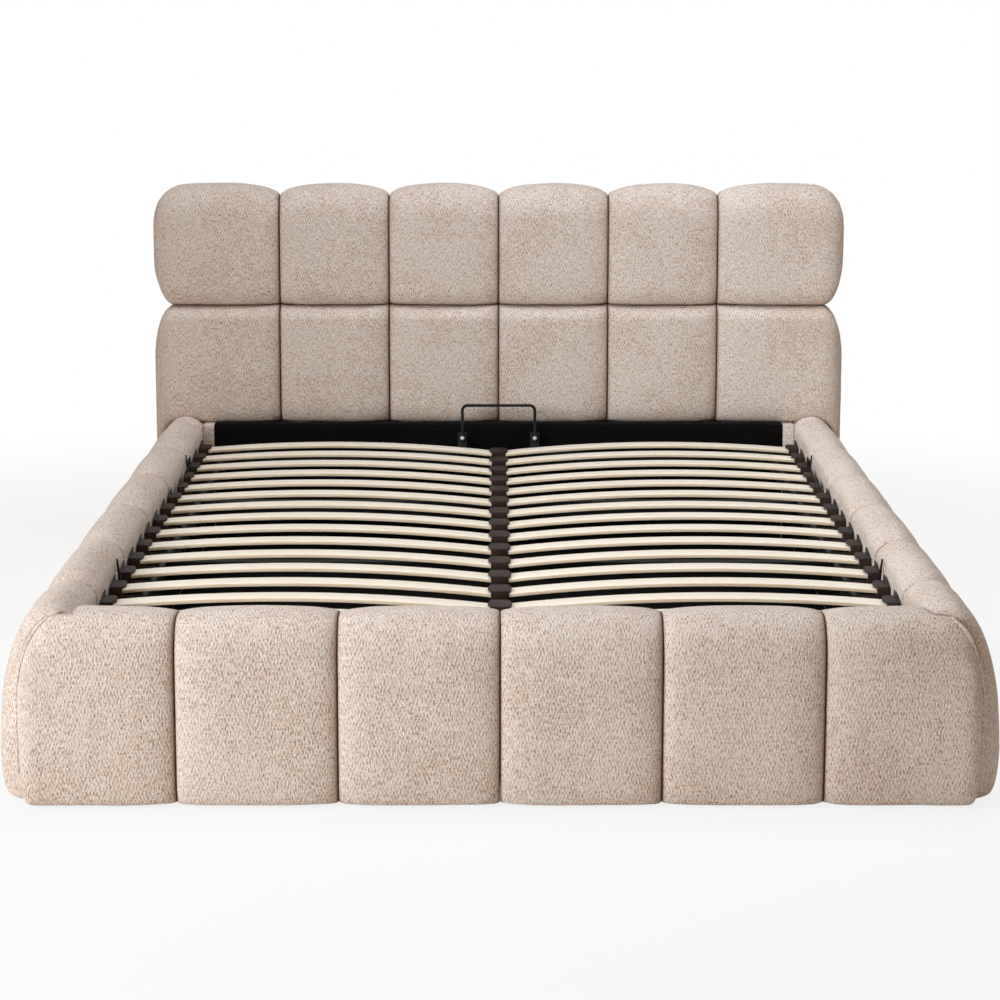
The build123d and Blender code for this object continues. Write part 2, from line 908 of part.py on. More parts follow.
# Lift hinge
def hinge_plate():
    """Plate bolted to the rail, with the pivot hole and the strut's lower hole."""
    reach_front = lower_y - plate_edge_margin
    reach_rear = pivot_y + plate_edge_margin
    top = pivot_height + plate_edge_margin
    corners = (
        (pivot_y - plate_edge_margin, top),
        (reach_rear, top),
        (reach_rear, plate_foot_height),
        (reach_front, plate_foot_height),
        (reach_front, lower_z + plate_edge_margin),
    )
    outline = make_face(Polyline(*corners, close=True))
    outline = fillet(outline.vertices(), plate_corner_radius)
    plane = Plane(origin=(plate_inner, 0, 0), x_dir=(0, 1, 0), z_dir=(1, 0, 0))
    plate = extrude(plane * outline, amount=plate_thickness)
    low = plate_inner - overrun
    high = recess_half + overrun
    plate = plate - disc(low, high, pivot_y, pivot_height, pin_radius + running_gap)
    plate = plate - disc(low, high, lower_y, lower_z, stud_radius + running_gap)
    for y, z in plate_bolt_places():
        plate = plate - disc(low, high, y, z, bolt_radius + bolt_clearance)
    save("hinge_plates", plate, other_side(plate))


def hinge_pins():
    """Pivot pins with a head and a shoulder, and the studs under the struts."""
    head_inner = arm_inner - arm_face_gap - pin_head_height
    head_outer = arm_inner - arm_face_gap
    shoulder_inner = arm_outer + arm_face_gap
    pin = disc(head_inner, head_outer, pivot_y, pivot_height, pin_head_radius)
    pin = pin + disc(head_inner, recess_half, pivot_y, pivot_height, pin_radius)
    pin = pin + disc(shoulder_inner, plate_inner, pivot_y, pivot_height, pin_shoulder_radius)
    stud = strut_stud(lower_y, lower_z, recess_half)
    collar_inner = plate_inner - stud_nut_height
    stud = stud + disc(collar_inner, plate_inner, lower_y, lower_z, stud_nut_radius)
    save("hinge_pins", pin, stud, other_side(pin), other_side(stud))


def strut_stud(y, z, outer):
    """Stud that carries a strut end, with a nut on its inner end."""
    eye_inner = strut_centre_reach - strut_eye_width / 2
    nut_outer = eye_inner - stud_side_gap
    nut_inner = nut_outer - stud_nut_height
    return disc(nut_inner, outer, y, z, stud_radius) + disc(
        nut_inner, nut_outer, y, z, stud_nut_radius
    )


def frame_bolts():
    """Round-head bolts that fix the hinge plates to the rails."""
    bolts = []
    for y, z in plate_bolt_places():
        head = disc(plate_inner - bolt_head_height, plate_inner, y, z, bolt_head_radius)
        bolt = head + disc(plate_inner - bolt_head_height, plate_inner + bolt_length, y, z, bolt_radius)
        bolts += [bolt, other_side(bolt)]
    save("frame_bolts", *bolts)


def lift_arm():
    """Flat arm from the pivot to the strut, with lugs to the platform's side tube."""
    middle_y = (pivot_y + upper_y) / 2
    middle_z = (pivot_height + upper_z) / 2
    bar = SlotCenterToCenter(arm_radius, arm_width)
    plane = Plane(origin=(arm_inner, middle_y, middle_z), x_dir=(0, 1, 0), z_dir=(1, 0, 0))
    arm = extrude(plane * Rot(0, 0, arm_slope) * bar, amount=arm_thickness)
    hole = disc(arm_inner - overrun, arm_outer + overrun, pivot_y, pivot_height, pin_radius + running_gap)
    arm = arm - hole
    for share in arm_lug_shares:
        y = upper_y + (pivot_y - upper_y) * share
        z = upper_z + (pivot_height - upper_z) * share
        arm = arm + block(
            side_tube_outer,
            arm_inner + arm_thickness / 2,
            y - arm_lug_length / 2,
            y + arm_lug_length / 2,
            z - arm_lug_thickness / 2,
            z + arm_lug_thickness / 2,
        )
    arm = arm + strut_stud(upper_y, upper_z, arm_inner + arm_thickness / 2)
    save("lift_arm_right", arm)
    save("lift_arm_left", other_side(arm))


def strut_place():
    """From the strut's own frame, Z along the strut, to its place on the right."""
    return Pos(strut_centre_reach, lower_y, lower_z) * Rot(strut_tilt, 0, 0)


def upright(radius, low, high):
    """A cylinder along the strut's own Z."""
    return Pos(0, 0, (low + high) / 2) * Cylinder(radius, high - low)


def strut_tube():
    """Cylinder with an eye at its lower end and a rod guide at its upper end."""
    end = closed_length - strut_tube_end
    half = strut_eye_width / 2
    tube_body = upright(strut_tube_radius, strut_neck, end)
    tube_body = tube_body - upright(
        strut_bore_radius, strut_neck + strut_end_wall, end - strut_guide_length
    )
    tube_body = tube_body - upright(rod_radius + running_gap, end - 2 * strut_guide_length, end + overrun)
    eye = disc(-half, half, 0, 0, strut_eye_radius)
    neck = block(-half, half, -strut_eye_radius, strut_eye_radius, 0, strut_neck + strut_end_wall / 2)
    bore = disc(-half - overrun, half + overrun, 0, 0, stud_radius + running_gap)
    piece = strut_place() * (tube_body + eye + neck - bore)
    save("strut_tube_right", piece)
    save("strut_tube_left", other_side(piece))


def strut_rod():
    """Rod with a piston inside the tube and an eye that takes the arm's stud."""
    centre = closed_length + lag
    guide_low = closed_length - strut_tube_end - strut_guide_length
    rod_low = guide_low - stroke - rod_inner_stop
    half = strut_eye_width / 2
    rod = upright(rod_radius, rod_low, centre)
    rod = rod + upright(strut_bore_radius - running_gap, rod_low, rod_low + piston_length)
    eye = disc(-half, half, 0, centre, rod_eye_radius)
    bore = disc(-half - overrun, half + overrun, 0, centre, rod_eye_bore)
    piece = strut_place() * (rod + eye - bore)
    save("strut_rod_right", piece)
    save("strut_rod_left", other_side(piece))


def main():
    os.makedirs("parts", exist_ok=True)
    headboard_pads()
    headboard_panel()
    headboard_back_cloth()
    footboard_pads()
    footboard_panel()
    rail_pads()
    rail_panels()
    head_end()
    storage_floor()
    glide_feet()
    platform_frame()
    platform_rests()
    slats()
    slat_holders()
    mattress_retainer()
    mattress_stops()
    hinge_plate()
    hinge_pins()
    frame_bolts()
    lift_arm()
    strut_tube()
    strut_rod()
    print(f"bed {2 * outer_half:.1f} by {overall_length:.1f} by {headboard_height:.1f}")
    print(f"pivot {pivot_y - overall_length / 2:.3f} {pivot_height:.3f}")
    print(f"strut foot {lower_y - overall_length / 2:.4f} {lower_z:.4f}, tilt {strut_tilt:.4f}")
    print(f"closed {closed_length:.3f} open {open_length:.3f} stroke {stroke:.4f} lag {lag:.3f}")


main()
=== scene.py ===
import json
import math
from dataclasses import dataclass
from functools import partial
from itertools import accumulate

import bmesh
import bpy
from mathutils import Matrix, Vector, noise


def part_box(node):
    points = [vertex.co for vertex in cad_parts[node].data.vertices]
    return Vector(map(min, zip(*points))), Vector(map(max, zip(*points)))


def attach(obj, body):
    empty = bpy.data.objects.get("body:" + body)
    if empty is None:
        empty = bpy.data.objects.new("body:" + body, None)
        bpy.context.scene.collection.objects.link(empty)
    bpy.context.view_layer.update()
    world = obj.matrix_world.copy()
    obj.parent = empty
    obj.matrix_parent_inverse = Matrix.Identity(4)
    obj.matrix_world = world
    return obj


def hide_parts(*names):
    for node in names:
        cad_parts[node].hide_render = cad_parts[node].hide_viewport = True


bl_info = {
    "name": "Upholstered Ottoman Bed",
    "version": (1, 0, 0),
    "blender": (4, 5, 0),
    "location": "View3D > Sidebar > Ottoman Bed",
    "description": "Builds an upholstered ottoman bed with a lifting slatted platform",
    "category": "Add Mesh",
}

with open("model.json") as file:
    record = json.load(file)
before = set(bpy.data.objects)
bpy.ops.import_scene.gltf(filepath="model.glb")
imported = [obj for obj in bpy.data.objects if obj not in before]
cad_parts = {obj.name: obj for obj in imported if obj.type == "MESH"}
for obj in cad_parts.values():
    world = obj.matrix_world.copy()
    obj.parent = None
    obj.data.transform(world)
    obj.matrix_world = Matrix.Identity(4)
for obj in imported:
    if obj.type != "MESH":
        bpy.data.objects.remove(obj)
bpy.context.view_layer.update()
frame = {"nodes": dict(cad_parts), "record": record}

MM = 0.001
QUARTER_TURN = math.pi / 2
SIDES = (("left", -1), ("right", 1))

# Faces of the boards under the upholstery and of the caps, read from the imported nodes
HEADBOARD_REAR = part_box("headboard_panel")[1].y
FOOTBOARD_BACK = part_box("footboard_panel")[1].y
PANEL_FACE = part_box("side_rail_panel_right")[0].x
END_BOARD_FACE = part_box("head_end_board")[0].y
CAPS_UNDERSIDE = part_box("slat_caps")[0].z

CHENILLE = "Chunky woven chenille"
NONWOVEN = "Black non-woven polypropylene cloth"
BIRCH = "Lacquered laminated birch"
SPRUCE = "Planed spruce"
PLASTIC = "Moulded polypropylene, eroded finish"
MATT_COAT = "Matt black powder coat"
GLOSS_COAT = "Gloss black powder coat"
ZINC = "Zinc-plated steel"
CHROME = "Hard-chromed steel"
FLOOR_PAINT = "Pale matt floor paint"


def hex_colour(text):
    """An sRGB hex value as linear red, green, blue and alpha."""
    parts = [int(text[i:i + 2], 16) / 255 for i in (1, 3, 5)]
    linear = [c / 12.92 if c <= 0.04045 else ((c + 0.055) / 1.055) ** 2.4 for c in parts]
    return (*linear, 1.0)


def grey(value):
    return (value, value, value, 1.0)


def toned(colour, factor, lift=0.0):
    """A paler or darker tone of a colour."""
    return (*(min(1.0, c * factor + lift) for c in colour[:3]), 1.0)


def add_node(tree, kind, inputs=(), stops=(), **settings):
    """Add a node, set its properties and colour stops, and set or link its inputs.

    An input that is given as a node is linked to that node's first output in use.
    """
    node = tree.nodes.new(kind)
    for name, value in settings.items():
        setattr(node, name, value)
    for name, value in dict(inputs).items():
        if isinstance(value, bpy.types.Node):
            value = next(socket for socket in value.outputs if socket.enabled)
        if isinstance(value, bpy.types.NodeSocket):
            tree.links.new(value, node.inputs[name])
        else:
            node.inputs[name].default_value = value
    if stops:
        elements = node.color_ramp.elements
        while len(elements) < len(stops):
            elements.new(1.0)
        for element, (place, colour) in zip(elements, stops):
            element.position = place
            element.color = colour
    return node


def colour_property(name, description, text):
    return bpy.props.FloatVectorProperty(
        name=name, description=description, subtype="COLOR", size=4,
        min=0.0, max=1.0, default=hex_colour(text),
    )


def length_property(name, description, default):
    return bpy.props.FloatProperty(
        name=name, description=description, default=default, min=0.0,
        unit="LENGTH", subtype="DISTANCE",
    )


class UpholsterySettings(bpy.types.PropertyGroup):
    yarn_base: colour_property("Yarn", "Main colour of the chenille yarn", "#DCCABB")
    # The dark and light flecks are partly the yarn's own flecks, and partly painted shade between
    # the floats and painted highlight on the raised floats
    yarn_dark_and_gap_shade: colour_property("Dark fleck", "Colour between the yarns", "#B39B87")
    yarn_light_and_highlight: colour_property("Light fleck", "Colour of the raised yarn", "#F1E9E2")
    warp_pitch: length_property("Warp pitch", "Width of one warp float", 3.1 * MM)
    weft_pitch: length_property("Weft pitch", "Height of one weft float", 4.0 * MM)
    float_pitch: length_property("Float pitch", "Step between two warp floats", 7 * MM)
    row_pitch: length_property("Row pitch", "Height of two rows of floats", 18.0 * MM)
    welt_radius: length_property("Welt radius", "Radius of the corner piping", 3.2 * MM)
    pucker: length_property("Pucker", "Depth of the gathers beside the seams", 1.6 * MM)
    cover_thickness: length_property("Cover thickness", "Thickness of the lining cloth", 1.0 * MM)


class TimberSettings(bpy.types.PropertyGroup):
    birch_face: colour_property("Birch face", "Top of a slat", "#FFF6E4")
    birch_edge: colour_property("Birch edge", "Cut edge of a slat", "#EED5AE")
    slat_round: length_property("Slat edge", "Rounding of a slat's long edges", 1.8 * MM)
    spruce: colour_property("Spruce", "Planed bearer", "#D9BE8E")


class MetalSettings(bpy.types.PropertyGroup):
    powder: colour_property("Powder coat", "Black powder coat", "#070707")
    plastic: colour_property("Plastic", "Moulded slat holders", "#2A201B")
    edge_round: length_property("Edge", "Rounding of steel edges", 0.8 * MM)


class StageSettings(bpy.types.PropertyGroup):
    floor_tone: colour_property("Floor", "Pale floor", "#F2F1EF")
    key_power: bpy.props.FloatProperty(
        name="Key light", description="Power of the large front lamp", default=92.0,
        min=0.0, unit="POWER",
    )
    world_level: bpy.props.FloatProperty(
        name="World", description="Light from all round", default=0.25, min=0.0,
    )


# Materials, each a function that adds its nodes and returns its shader


def chenille_weave(tree):
    """Chunky chenille, woven: short fat yarn floats, dull, pale on top and brown between, partly as
    painted highlight and painted shade.
    """
    look = bpy.context.scene.bed_upholstery
    uv = add_node(tree, "ShaderNodeUVMap", uv_map="Weave")
    # Warp floats stand upright, about three times as tall as wide; the weft makes fine rows
    warp_place = add_node(tree, "ShaderNodeMapping", {
        "Vector": uv, "Scale": (1 / look.warp_pitch, 0.38 / look.warp_pitch, 1.0),
    })
    warp = add_node(tree, "ShaderNodeTexNoise", {
        "Vector": warp_place, "Scale": 1.0, "Detail": 2.0, "Roughness": 0.55,
    }, noise_dimensions="2D")
    weft_place = add_node(tree, "ShaderNodeMapping", {
        "Vector": uv, "Scale": (0.28 / look.weft_pitch, 1 / look.weft_pitch, 1.0),
        "Location": (3.7, 1.9, 0.0),
    })
    weft = add_node(tree, "ShaderNodeTexNoise", {
        "Vector": weft_place, "Scale": 1.0, "Detail": 1.0, "Roughness": 0.5,
    }, noise_dimensions="2D")
    yarns = add_node(tree, "ShaderNodeMix", {
        "Factor": 0.3, "A": warp, "B": weft,
    }, data_type="FLOAT")
    # The floats stand in even rows, each row half a step beside the next, a little uneven
    wander = add_node(tree, "ShaderNodeTexNoise", {
        "Vector": uv, "Scale": 30.0, "Detail": 2.0,
    }, noise_dimensions="2D")
    uneven = add_node(tree, "ShaderNodeVectorMath", {
        0: wander.outputs["Color"], 1: (9 * MM, 9 * MM, 0.0), 2: uv,
    }, operation="MULTIPLY_ADD")
    place = add_node(tree, "ShaderNodeSeparateXYZ", {"Vector": uneven})
    waves = []
    for axis, step in (("X", look.float_pitch), ("Y", look.row_pitch)):
        turn = add_node(tree, "ShaderNodeMath", {
            0: place.outputs[axis], 1: 2 * math.pi / step,
        }, operation="MULTIPLY")
        waves.append(add_node(tree, "ShaderNodeMath", {0: turn}, operation="SINE"))
    rows = add_node(tree, "ShaderNodeMath", dict(enumerate(waves)), operation="MULTIPLY")
    raised = add_node(tree, "ShaderNodeMath", {
        0: rows, 1: 0.07, 2: 0.16,
    }, operation="MULTIPLY_ADD")
    height = add_node(tree, "ShaderNodeMath", {
        0: yarns, 1: 0.68, 2: raised,
    }, operation="MULTIPLY_ADD")
    # Painted shade and highlight: the colour follows the bump's height, darker between the floats
    # and paler on the raised ones, over the yarn's own fleck colours
    yarn = add_node(tree, "ShaderNodeValToRGB", {"Fac": height}, (
        (0.36, look.yarn_dark_and_gap_shade), (0.47, look.yarn_base), (0.6, look.yarn_light_and_highlight),
    ))
    # Slubs: patches 20 to 40 mm across where the yarn is thicker and paler, and a wider mottling of
    # the nap, a painted sheen in lighter and darker patches
    slubs = add_node(tree, "ShaderNodeTexNoise", {
        "Vector": uv, "Scale": 34.0, "Detail": 3.0, "Roughness": 0.6,
    }, noise_dimensions="2D")
    nap_sheen = add_node(tree, "ShaderNodeTexNoise", {
        "Vector": uv, "Scale": 5.0, "Detail": 2.0,
    }, noise_dimensions="2D")
    level = add_node(tree, "ShaderNodeMath", {0: slubs, 1: nap_sheen}, operation="ADD")
    shade = add_node(tree, "ShaderNodeValToRGB", {"Fac": level}, (
        (0.62, grey(0.42)), (1.0, grey(0.5)), (1.38, grey(0.58)),
    ))
    shaded = add_node(tree, "ShaderNodeMix", {
        "Factor": 0.85, "A": yarn, "B": shade,
    }, data_type="RGBA", blend_type="OVERLAY")
    # Painted shade: the cloth is darkened to brown within about 10 mm of a seam, where shade falls
    # in the seam's groove
    seam = add_node(tree, "ShaderNodeAttribute", attribute_name="Seam")
    painted_seam_shade = add_node(tree, "ShaderNodeValToRGB", {"Fac": seam.outputs["Fac"]}, (
        (0.0, grey(1.0)), (0.45, hex_colour("#EDE5DF")), (0.8, hex_colour("#9E8B7C")),
        (1.0, hex_colour("#4A3A30")),
    ))
    seam_shaded = add_node(tree, "ShaderNodeMix", {
        "Factor": 1.0, "A": shaded, "B": painted_seam_shade,
    }, data_type="RGBA", blend_type="MULTIPLY")
    bump = add_node(tree, "ShaderNodeBump", {
        "Height": height, "Strength": 0.8, "Distance": 6 * MM,
    })
    return add_node(tree, "ShaderNodeBsdfPrincipled", {
        "Base Color": seam_shaded, "Normal": bump, "Roughness": 0.95, "Sheen Weight": 0.18,
        "Sheen Roughness": 0.6, "Specular IOR Level": 0.2,
    })


def black_nonwoven(tree):
    """Spun-bonded black polypropylene cloth: matt, with a faint pressed dot pattern."""
    place = add_node(tree, "ShaderNodeTexCoord").outputs["Object"]
    # Pressed dots 2.5 mm apart, drawn a little coarser than real so that they show
    dots = add_node(tree, "ShaderNodeTexVoronoi", {
        "Vector": place, "Scale": 400.0, "Randomness": 0.15,
    })
    folds = add_node(tree, "ShaderNodeTexNoise", {
        "Vector": place, "Scale": 9.0, "Detail": 4.0, "Distortion": 0.6,
    })
    cloth = add_node(tree, "ShaderNodeValToRGB", {"Fac": folds}, (
        (0.35, hex_colour("#060504")), (0.7, hex_colour("#0D0A09")),
    ))
    relief = add_node(tree, "ShaderNodeBump", {
        "Height": dots, "Strength": 0.35, "Distance": 0.6 * MM,
    })
    soft = add_node(tree, "ShaderNodeBump", {
        "Height": folds, "Strength": 0.5, "Distance": 6 * MM, "Normal": relief,
    })
    return add_node(tree, "ShaderNodeBsdfPrincipled", {
        "Base Color": cloth, "Normal": soft, "Roughness": 0.9, "Specular IOR Level": 0.1,
    })


def birch_veneer(tree):
    """Laminated birch, sanded and lacquered: cream face with long streaks, browner cut edge."""
    look = bpy.context.scene.bed_timber
    # Grain runs along X: streaks are about 3 mm wide and 400 mm long
    place = add_node(tree, "ShaderNodeTexCoord").outputs["Object"]
    streak_place, band_place, knot_place, ply_place = (
        add_node(tree, "ShaderNodeMapping", {"Vector": place, "Scale": scale})
        for scale in ((2.2, 300.0, 90.0), (1.3, 62.0, 20.0), (3.2, 15.0, 0.0), (6.0, 8.0, 900.0))
    )
    streaks = add_node(tree, "ShaderNodeTexNoise", {
        "Vector": streak_place, "Scale": 1.0, "Detail": 4.0, "Roughness": 0.65,
        "Distortion": 0.25,
    })
    bands, plies = (
        add_node(tree, "ShaderNodeTexNoise", {"Vector": vector, "Scale": 1.0, "Detail": 2.0})
        for vector in (band_place, ply_place)
    )
    knots = add_node(tree, "ShaderNodeTexVoronoi", {
        "Vector": knot_place, "Scale": 1.0, "Randomness": 1.0,
    })
    dark = tuple(0.72 * f + 0.28 * e for f, e in zip(look.birch_face, look.birch_edge))
    face = add_node(tree, "ShaderNodeValToRGB", {"Fac": streaks}, (
        (0.3, dark), (0.48, look.birch_face), (0.75, toned(look.birch_face, 1.05)),
    ))
    band = add_node(tree, "ShaderNodeValToRGB", {"Fac": bands}, (
        (0.3, grey(0.48)), (0.7, grey(0.62)),
    ))
    banded = add_node(tree, "ShaderNodeMix", {
        "Factor": 0.7, "A": face, "B": band,
    }, data_type="RGBA", blend_type="OVERLAY")
    pin = add_node(tree, "ShaderNodeValToRGB", {"Fac": knots}, (
        (0.012, grey(1.0)), (0.05, grey(0.0)),
    ))
    knotted = add_node(tree, "ShaderNodeMix", {
        "Factor": pin, "A": banded, "B": hex_colour("#7A4A28"),
    }, data_type="RGBA")
    # The long cut edges face along Y and show the plies
    normal = add_node(tree, "ShaderNodeNewGeometry").outputs["Normal"]
    across = add_node(tree, "ShaderNodeSeparateXYZ", {0: normal}).outputs["Y"]
    side = add_node(tree, "ShaderNodeMath", {0: across}, operation="ABSOLUTE")
    edge = add_node(tree, "ShaderNodeValToRGB", {"Fac": side}, (
        (0.35, grey(0.0)), (0.75, grey(1.0)),
    ))
    cut = add_node(tree, "ShaderNodeValToRGB", {"Fac": plies}, (
        (0.35, look.birch_edge), (0.65, hex_colour("#FFF3DC")),
    ))
    wood = add_node(tree, "ShaderNodeMix", {
        "Factor": edge, "A": knotted, "B": cut,
    }, data_type="RGBA")
    bump = add_node(tree, "ShaderNodeBump", {
        "Height": streaks, "Strength": 0.15, "Distance": 0.4 * MM,
    })
    return add_node(tree, "ShaderNodeBsdfPrincipled", {
        "Base Color": wood, "Normal": bump, "Roughness": 0.42, "Specular IOR Level": 0.45,
    })


def planed_spruce(tree):
    """Planed timber: fibres along X, dull."""
    tone = bpy.context.scene.bed_timber.spruce
    place = add_node(tree, "ShaderNodeTexCoord").outputs["Object"]
    fibre_place = add_node(tree, "ShaderNodeMapping", {
        "Vector": place, "Scale": (3.0, 160.0, 160.0),
    })
    fibre = add_node(tree, "ShaderNodeTexNoise", {
        "Vector": fibre_place, "Scale": 1.0, "Detail": 5.0, "Roughness": 0.7,
    })
    colour = add_node(tree, "ShaderNodeValToRGB", {"Fac": fibre}, (
        (0.3, toned(tone, 0.82)), (0.7, toned(tone, 1.18)),
    ))
    bump = add_node(tree, "ShaderNodeBump", {
        "Height": fibre, "Strength": 0.3, "Distance": 0.5 * MM,
    })
    return add_node(tree, "ShaderNodeBsdfPrincipled", {
        "Base Color": colour, "Normal": bump, "Roughness": 0.6,
    })


def moulded_plastic(tree):
    """Injection-moulded black-brown polypropylene with a fine eroded mould texture."""
    tone = bpy.context.scene.bed_metal.plastic
    place = add_node(tree, "ShaderNodeTexCoord").outputs["Object"]
    # Spark-eroded grain, drawn at 1.2 mm so that it shows
    grain = add_node(tree, "ShaderNodeTexNoise", {
        "Vector": place, "Scale": 800.0, "Detail": 2.0,
    })
    flow = add_node(tree, "ShaderNodeTexNoise", {
        "Vector": place, "Scale": 30.0, "Detail": 3.0,
    })
    colour = add_node(tree, "ShaderNodeValToRGB", {"Fac": flow}, (
        (0.3, toned(tone, 0.7)), (0.7, toned(tone, 1.5)),
    ))
    bump = add_node(tree, "ShaderNodeBump", {
        "Height": grain, "Strength": 0.25, "Distance": 0.3 * MM,
    })
    return add_node(tree, "ShaderNodeBsdfPrincipled", {
        "Base Color": colour, "Normal": bump, "Roughness": 0.62, "Specular IOR Level": 0.18,
    })


def powder_coat(tree, roughness):
    """Black polyester powder coat on steel: a faint orange peel."""
    tone = bpy.context.scene.bed_metal.powder
    place = add_node(tree, "ShaderNodeTexCoord").outputs["Object"]
    # Orange peel about 2 mm across
    peel = add_node(tree, "ShaderNodeTexNoise", {
        "Vector": place, "Scale": 450.0, "Detail": 2.0,
    })
    dust = add_node(tree, "ShaderNodeTexNoise", {
        "Vector": place, "Scale": 14.0, "Detail": 4.0,
    })
    colour = add_node(tree, "ShaderNodeValToRGB", {"Fac": dust}, (
        (0.4, tone), (0.8, toned(tone, 1.6, 0.002)),
    ))
    bump = add_node(tree, "ShaderNodeBump", {
        "Height": peel, "Strength": 0.12, "Distance": 0.3 * MM,
    })
    return add_node(tree, "ShaderNodeBsdfPrincipled", {
        "Base Color": colour, "Normal": bump, "Roughness": roughness, "Specular IOR Level": 0.25,
    })


def bare_metal(tree, tone, smoothest, roughest):
    """Metal with fine turning or rolling marks."""
    place = add_node(tree, "ShaderNodeTexCoord").outputs["Object"]
    mark_place = add_node(tree, "ShaderNodeMapping", {
        "Vector": place, "Scale": (60.0, 500.0, 500.0),
    })
    marks = add_node(tree, "ShaderNodeTexNoise", {
        "Vector": mark_place, "Scale": 1.0, "Detail": 3.0,
    })
    rough = add_node(tree, "ShaderNodeValToRGB", {"Fac": marks}, (
        (0.3, grey(smoothest)), (0.7, grey(roughest)),
    ))
    return add_node(tree, "ShaderNodeBsdfPrincipled", {
        "Base Color": hex_colour(tone), "Metallic": 1.0, "Roughness": rough,
    })


def seen(tree):
    """1 for camera, glossy and transmission rays, and 0 for the rest."""
    rays = add_node(tree, "ShaderNodeLightPath").outputs
    first = add_node(tree, "ShaderNodeMath", {
        0: rays["Is Camera Ray"], 1: rays["Is Glossy Ray"],
    }, operation="MAXIMUM")
    return add_node(tree, "ShaderNodeMath", {
        0: first, 1: rays["Is Transmission Ray"],
    }, operation="MAXIMUM")


def floor_paint(tree):
    """Matt paint, which turns into the white backdrop away from the bed."""
    paint = add_node(tree, "ShaderNodeBsdfPrincipled", {
        "Base Color": bpy.context.scene.bed_stage.floor_tone, "Roughness": 0.9,
        "Specular IOR Level": 0.1,
    })
    white = add_node(tree, "ShaderNodeEmission", {"Color": grey(1.0), "Strength": 1.0})
    place = add_node(tree, "ShaderNodeTexCoord").outputs["Object"]
    away = add_node(tree, "ShaderNodeVectorMath", {0: place}, operation="LENGTH")
    backdrop = add_node(tree, "ShaderNodeMapRange", {
        "Value": away, "From Min": 1.9, "From Max": 3.4, "To Min": 0.84, "To Max": 1.0,
    }, interpolation_type="SMOOTHSTEP")
    share = add_node(tree, "ShaderNodeMath", {0: seen(tree), 1: backdrop}, operation="MULTIPLY")
    return add_node(tree, "ShaderNodeMixShader", {0: share, 1: paint, 2: white})


FINISHES = {
    CHENILLE: chenille_weave,
    NONWOVEN: black_nonwoven,
    BIRCH: birch_veneer,
    SPRUCE: planed_spruce,
    PLASTIC: moulded_plastic,
    MATT_COAT: partial(powder_coat, roughness=0.62),
    GLOSS_COAT: partial(powder_coat, roughness=0.16),
    # Bright zinc plating: cool, slightly cloudy
    ZINC: partial(bare_metal, tone="#C9CBCC", smoothest=0.28, roughest=0.42),
    # A ground and chromed piston rod: nearly a mirror
    CHROME: partial(bare_metal, tone="#DADCDE", smoothest=0.06, roughest=0.14),
    FLOOR_PAINT: floor_paint,
}


def material_of(finish):
    """The material of a finish, made the first time it is asked for."""
    material = bpy.data.materials.get(finish)
    if not material:
        material = bpy.data.materials.new(finish)
        material.use_nodes = True
        tree = material.node_tree
        tree.nodes.clear()
        add_node(tree, "ShaderNodeOutputMaterial", {"Surface": FINISHES[finish](tree)})
    return material


# Tools for meshes and pieces


def in_scene(name, data):
    """A new object in the scene, at the origin."""
    piece = bpy.data.objects.new(name, data)
    bpy.context.scene.collection.objects.link(piece)
    return piece


def new_mesh(name, bm, finish):
    """Turn a finished bmesh into an object with a material."""
    mesh = bpy.data.meshes.new(name)
    bm.to_mesh(mesh)
    bm.free()
    mesh.materials.append(material_of(finish))
    return in_scene(name, mesh)


def new_piece(name, bm, body, finish):
    """Turn a finished bmesh into a smooth piece that rides on a body."""
    piece = new_mesh(name, bm, finish)
    for polygon in piece.data.polygons:
        polygon.use_smooth = True
    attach(piece, body)
    return piece


def subdivide(piece):
    modifier = piece.modifiers.new("Smooth surface", "SUBSURF")
    modifier.levels = 1
    modifier.render_levels = 1
    modifier.uv_smooth = "PRESERVE_BOUNDARIES"


def thicken(piece, thickness, offset):
    wall = piece.modifiers.new("Cloth thickness", "SOLIDIFY")
    wall.thickness = thickness
    wall.offset = offset


def body_of_node(node):
    for body, nodes in frame["record"]["behaviour"]["bodies"].items():
        if node in nodes:
            return body
    raise RuntimeError(f"no body holds {node}")


def mark_sharp(bm, degrees):
    """Shade an edge as sharp where its faces turn by this many degrees or more."""
    for edge in bm.edges:
        if len(edge.link_faces) == 2:
            edge.smooth = edge.calc_face_angle(0.0) < math.radians(degrees)


def rounded(bm, edges, width, segments):
    """Round edges by a bevel of a width."""
    bmesh.ops.bevel(
        bm, geom=edges, offset=width, segments=segments, profile=0.5, affect="EDGES", material=-1,
    )


def refined(node, name, finish, width, segments=2):
    """A copy of a rigid node with its edges broken, which then stands for the node."""
    bm = bmesh.new()
    bm.from_mesh(frame["nodes"][node].data)
    bmesh.ops.remove_doubles(bm, verts=bm.verts, dist=0.02 * MM)
    bmesh.ops.dissolve_limit(
        bm, angle_limit=math.radians(1.0), verts=bm.verts, edges=bm.edges,
    )
    sharp = [
        edge for edge in bm.edges
        if len(edge.link_faces) == 2 and edge.calc_face_angle(0.0) > math.radians(32)
    ]
    bmesh.ops.bevel(
        bm, geom=sharp, offset=width, offset_type="OFFSET", segments=segments,
        profile=0.5, affect="EDGES", clamp_overlap=True, material=-1,
    )
    mark_sharp(bm, 50)
    piece = new_piece(name, bm, body_of_node(node), finish)
    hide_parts(node)
    return piece


def weave_map(bm, place, faces=None):
    """Write the weave's UV map on faces, from a function of a face and its vertex."""
    layer = bm.loops.layers.uv.get("Weave") or bm.loops.layers.uv.new("Weave")
    for face in faces or bm.faces:
        for loop in face.loops:
            loop[layer].uv = place(face, loop.vert)


def upright_place(face, vert):
    """Weave place on an upright face, which looks along or across the bed."""
    return (vert.co.x + vert.co.y, vert.co.z)


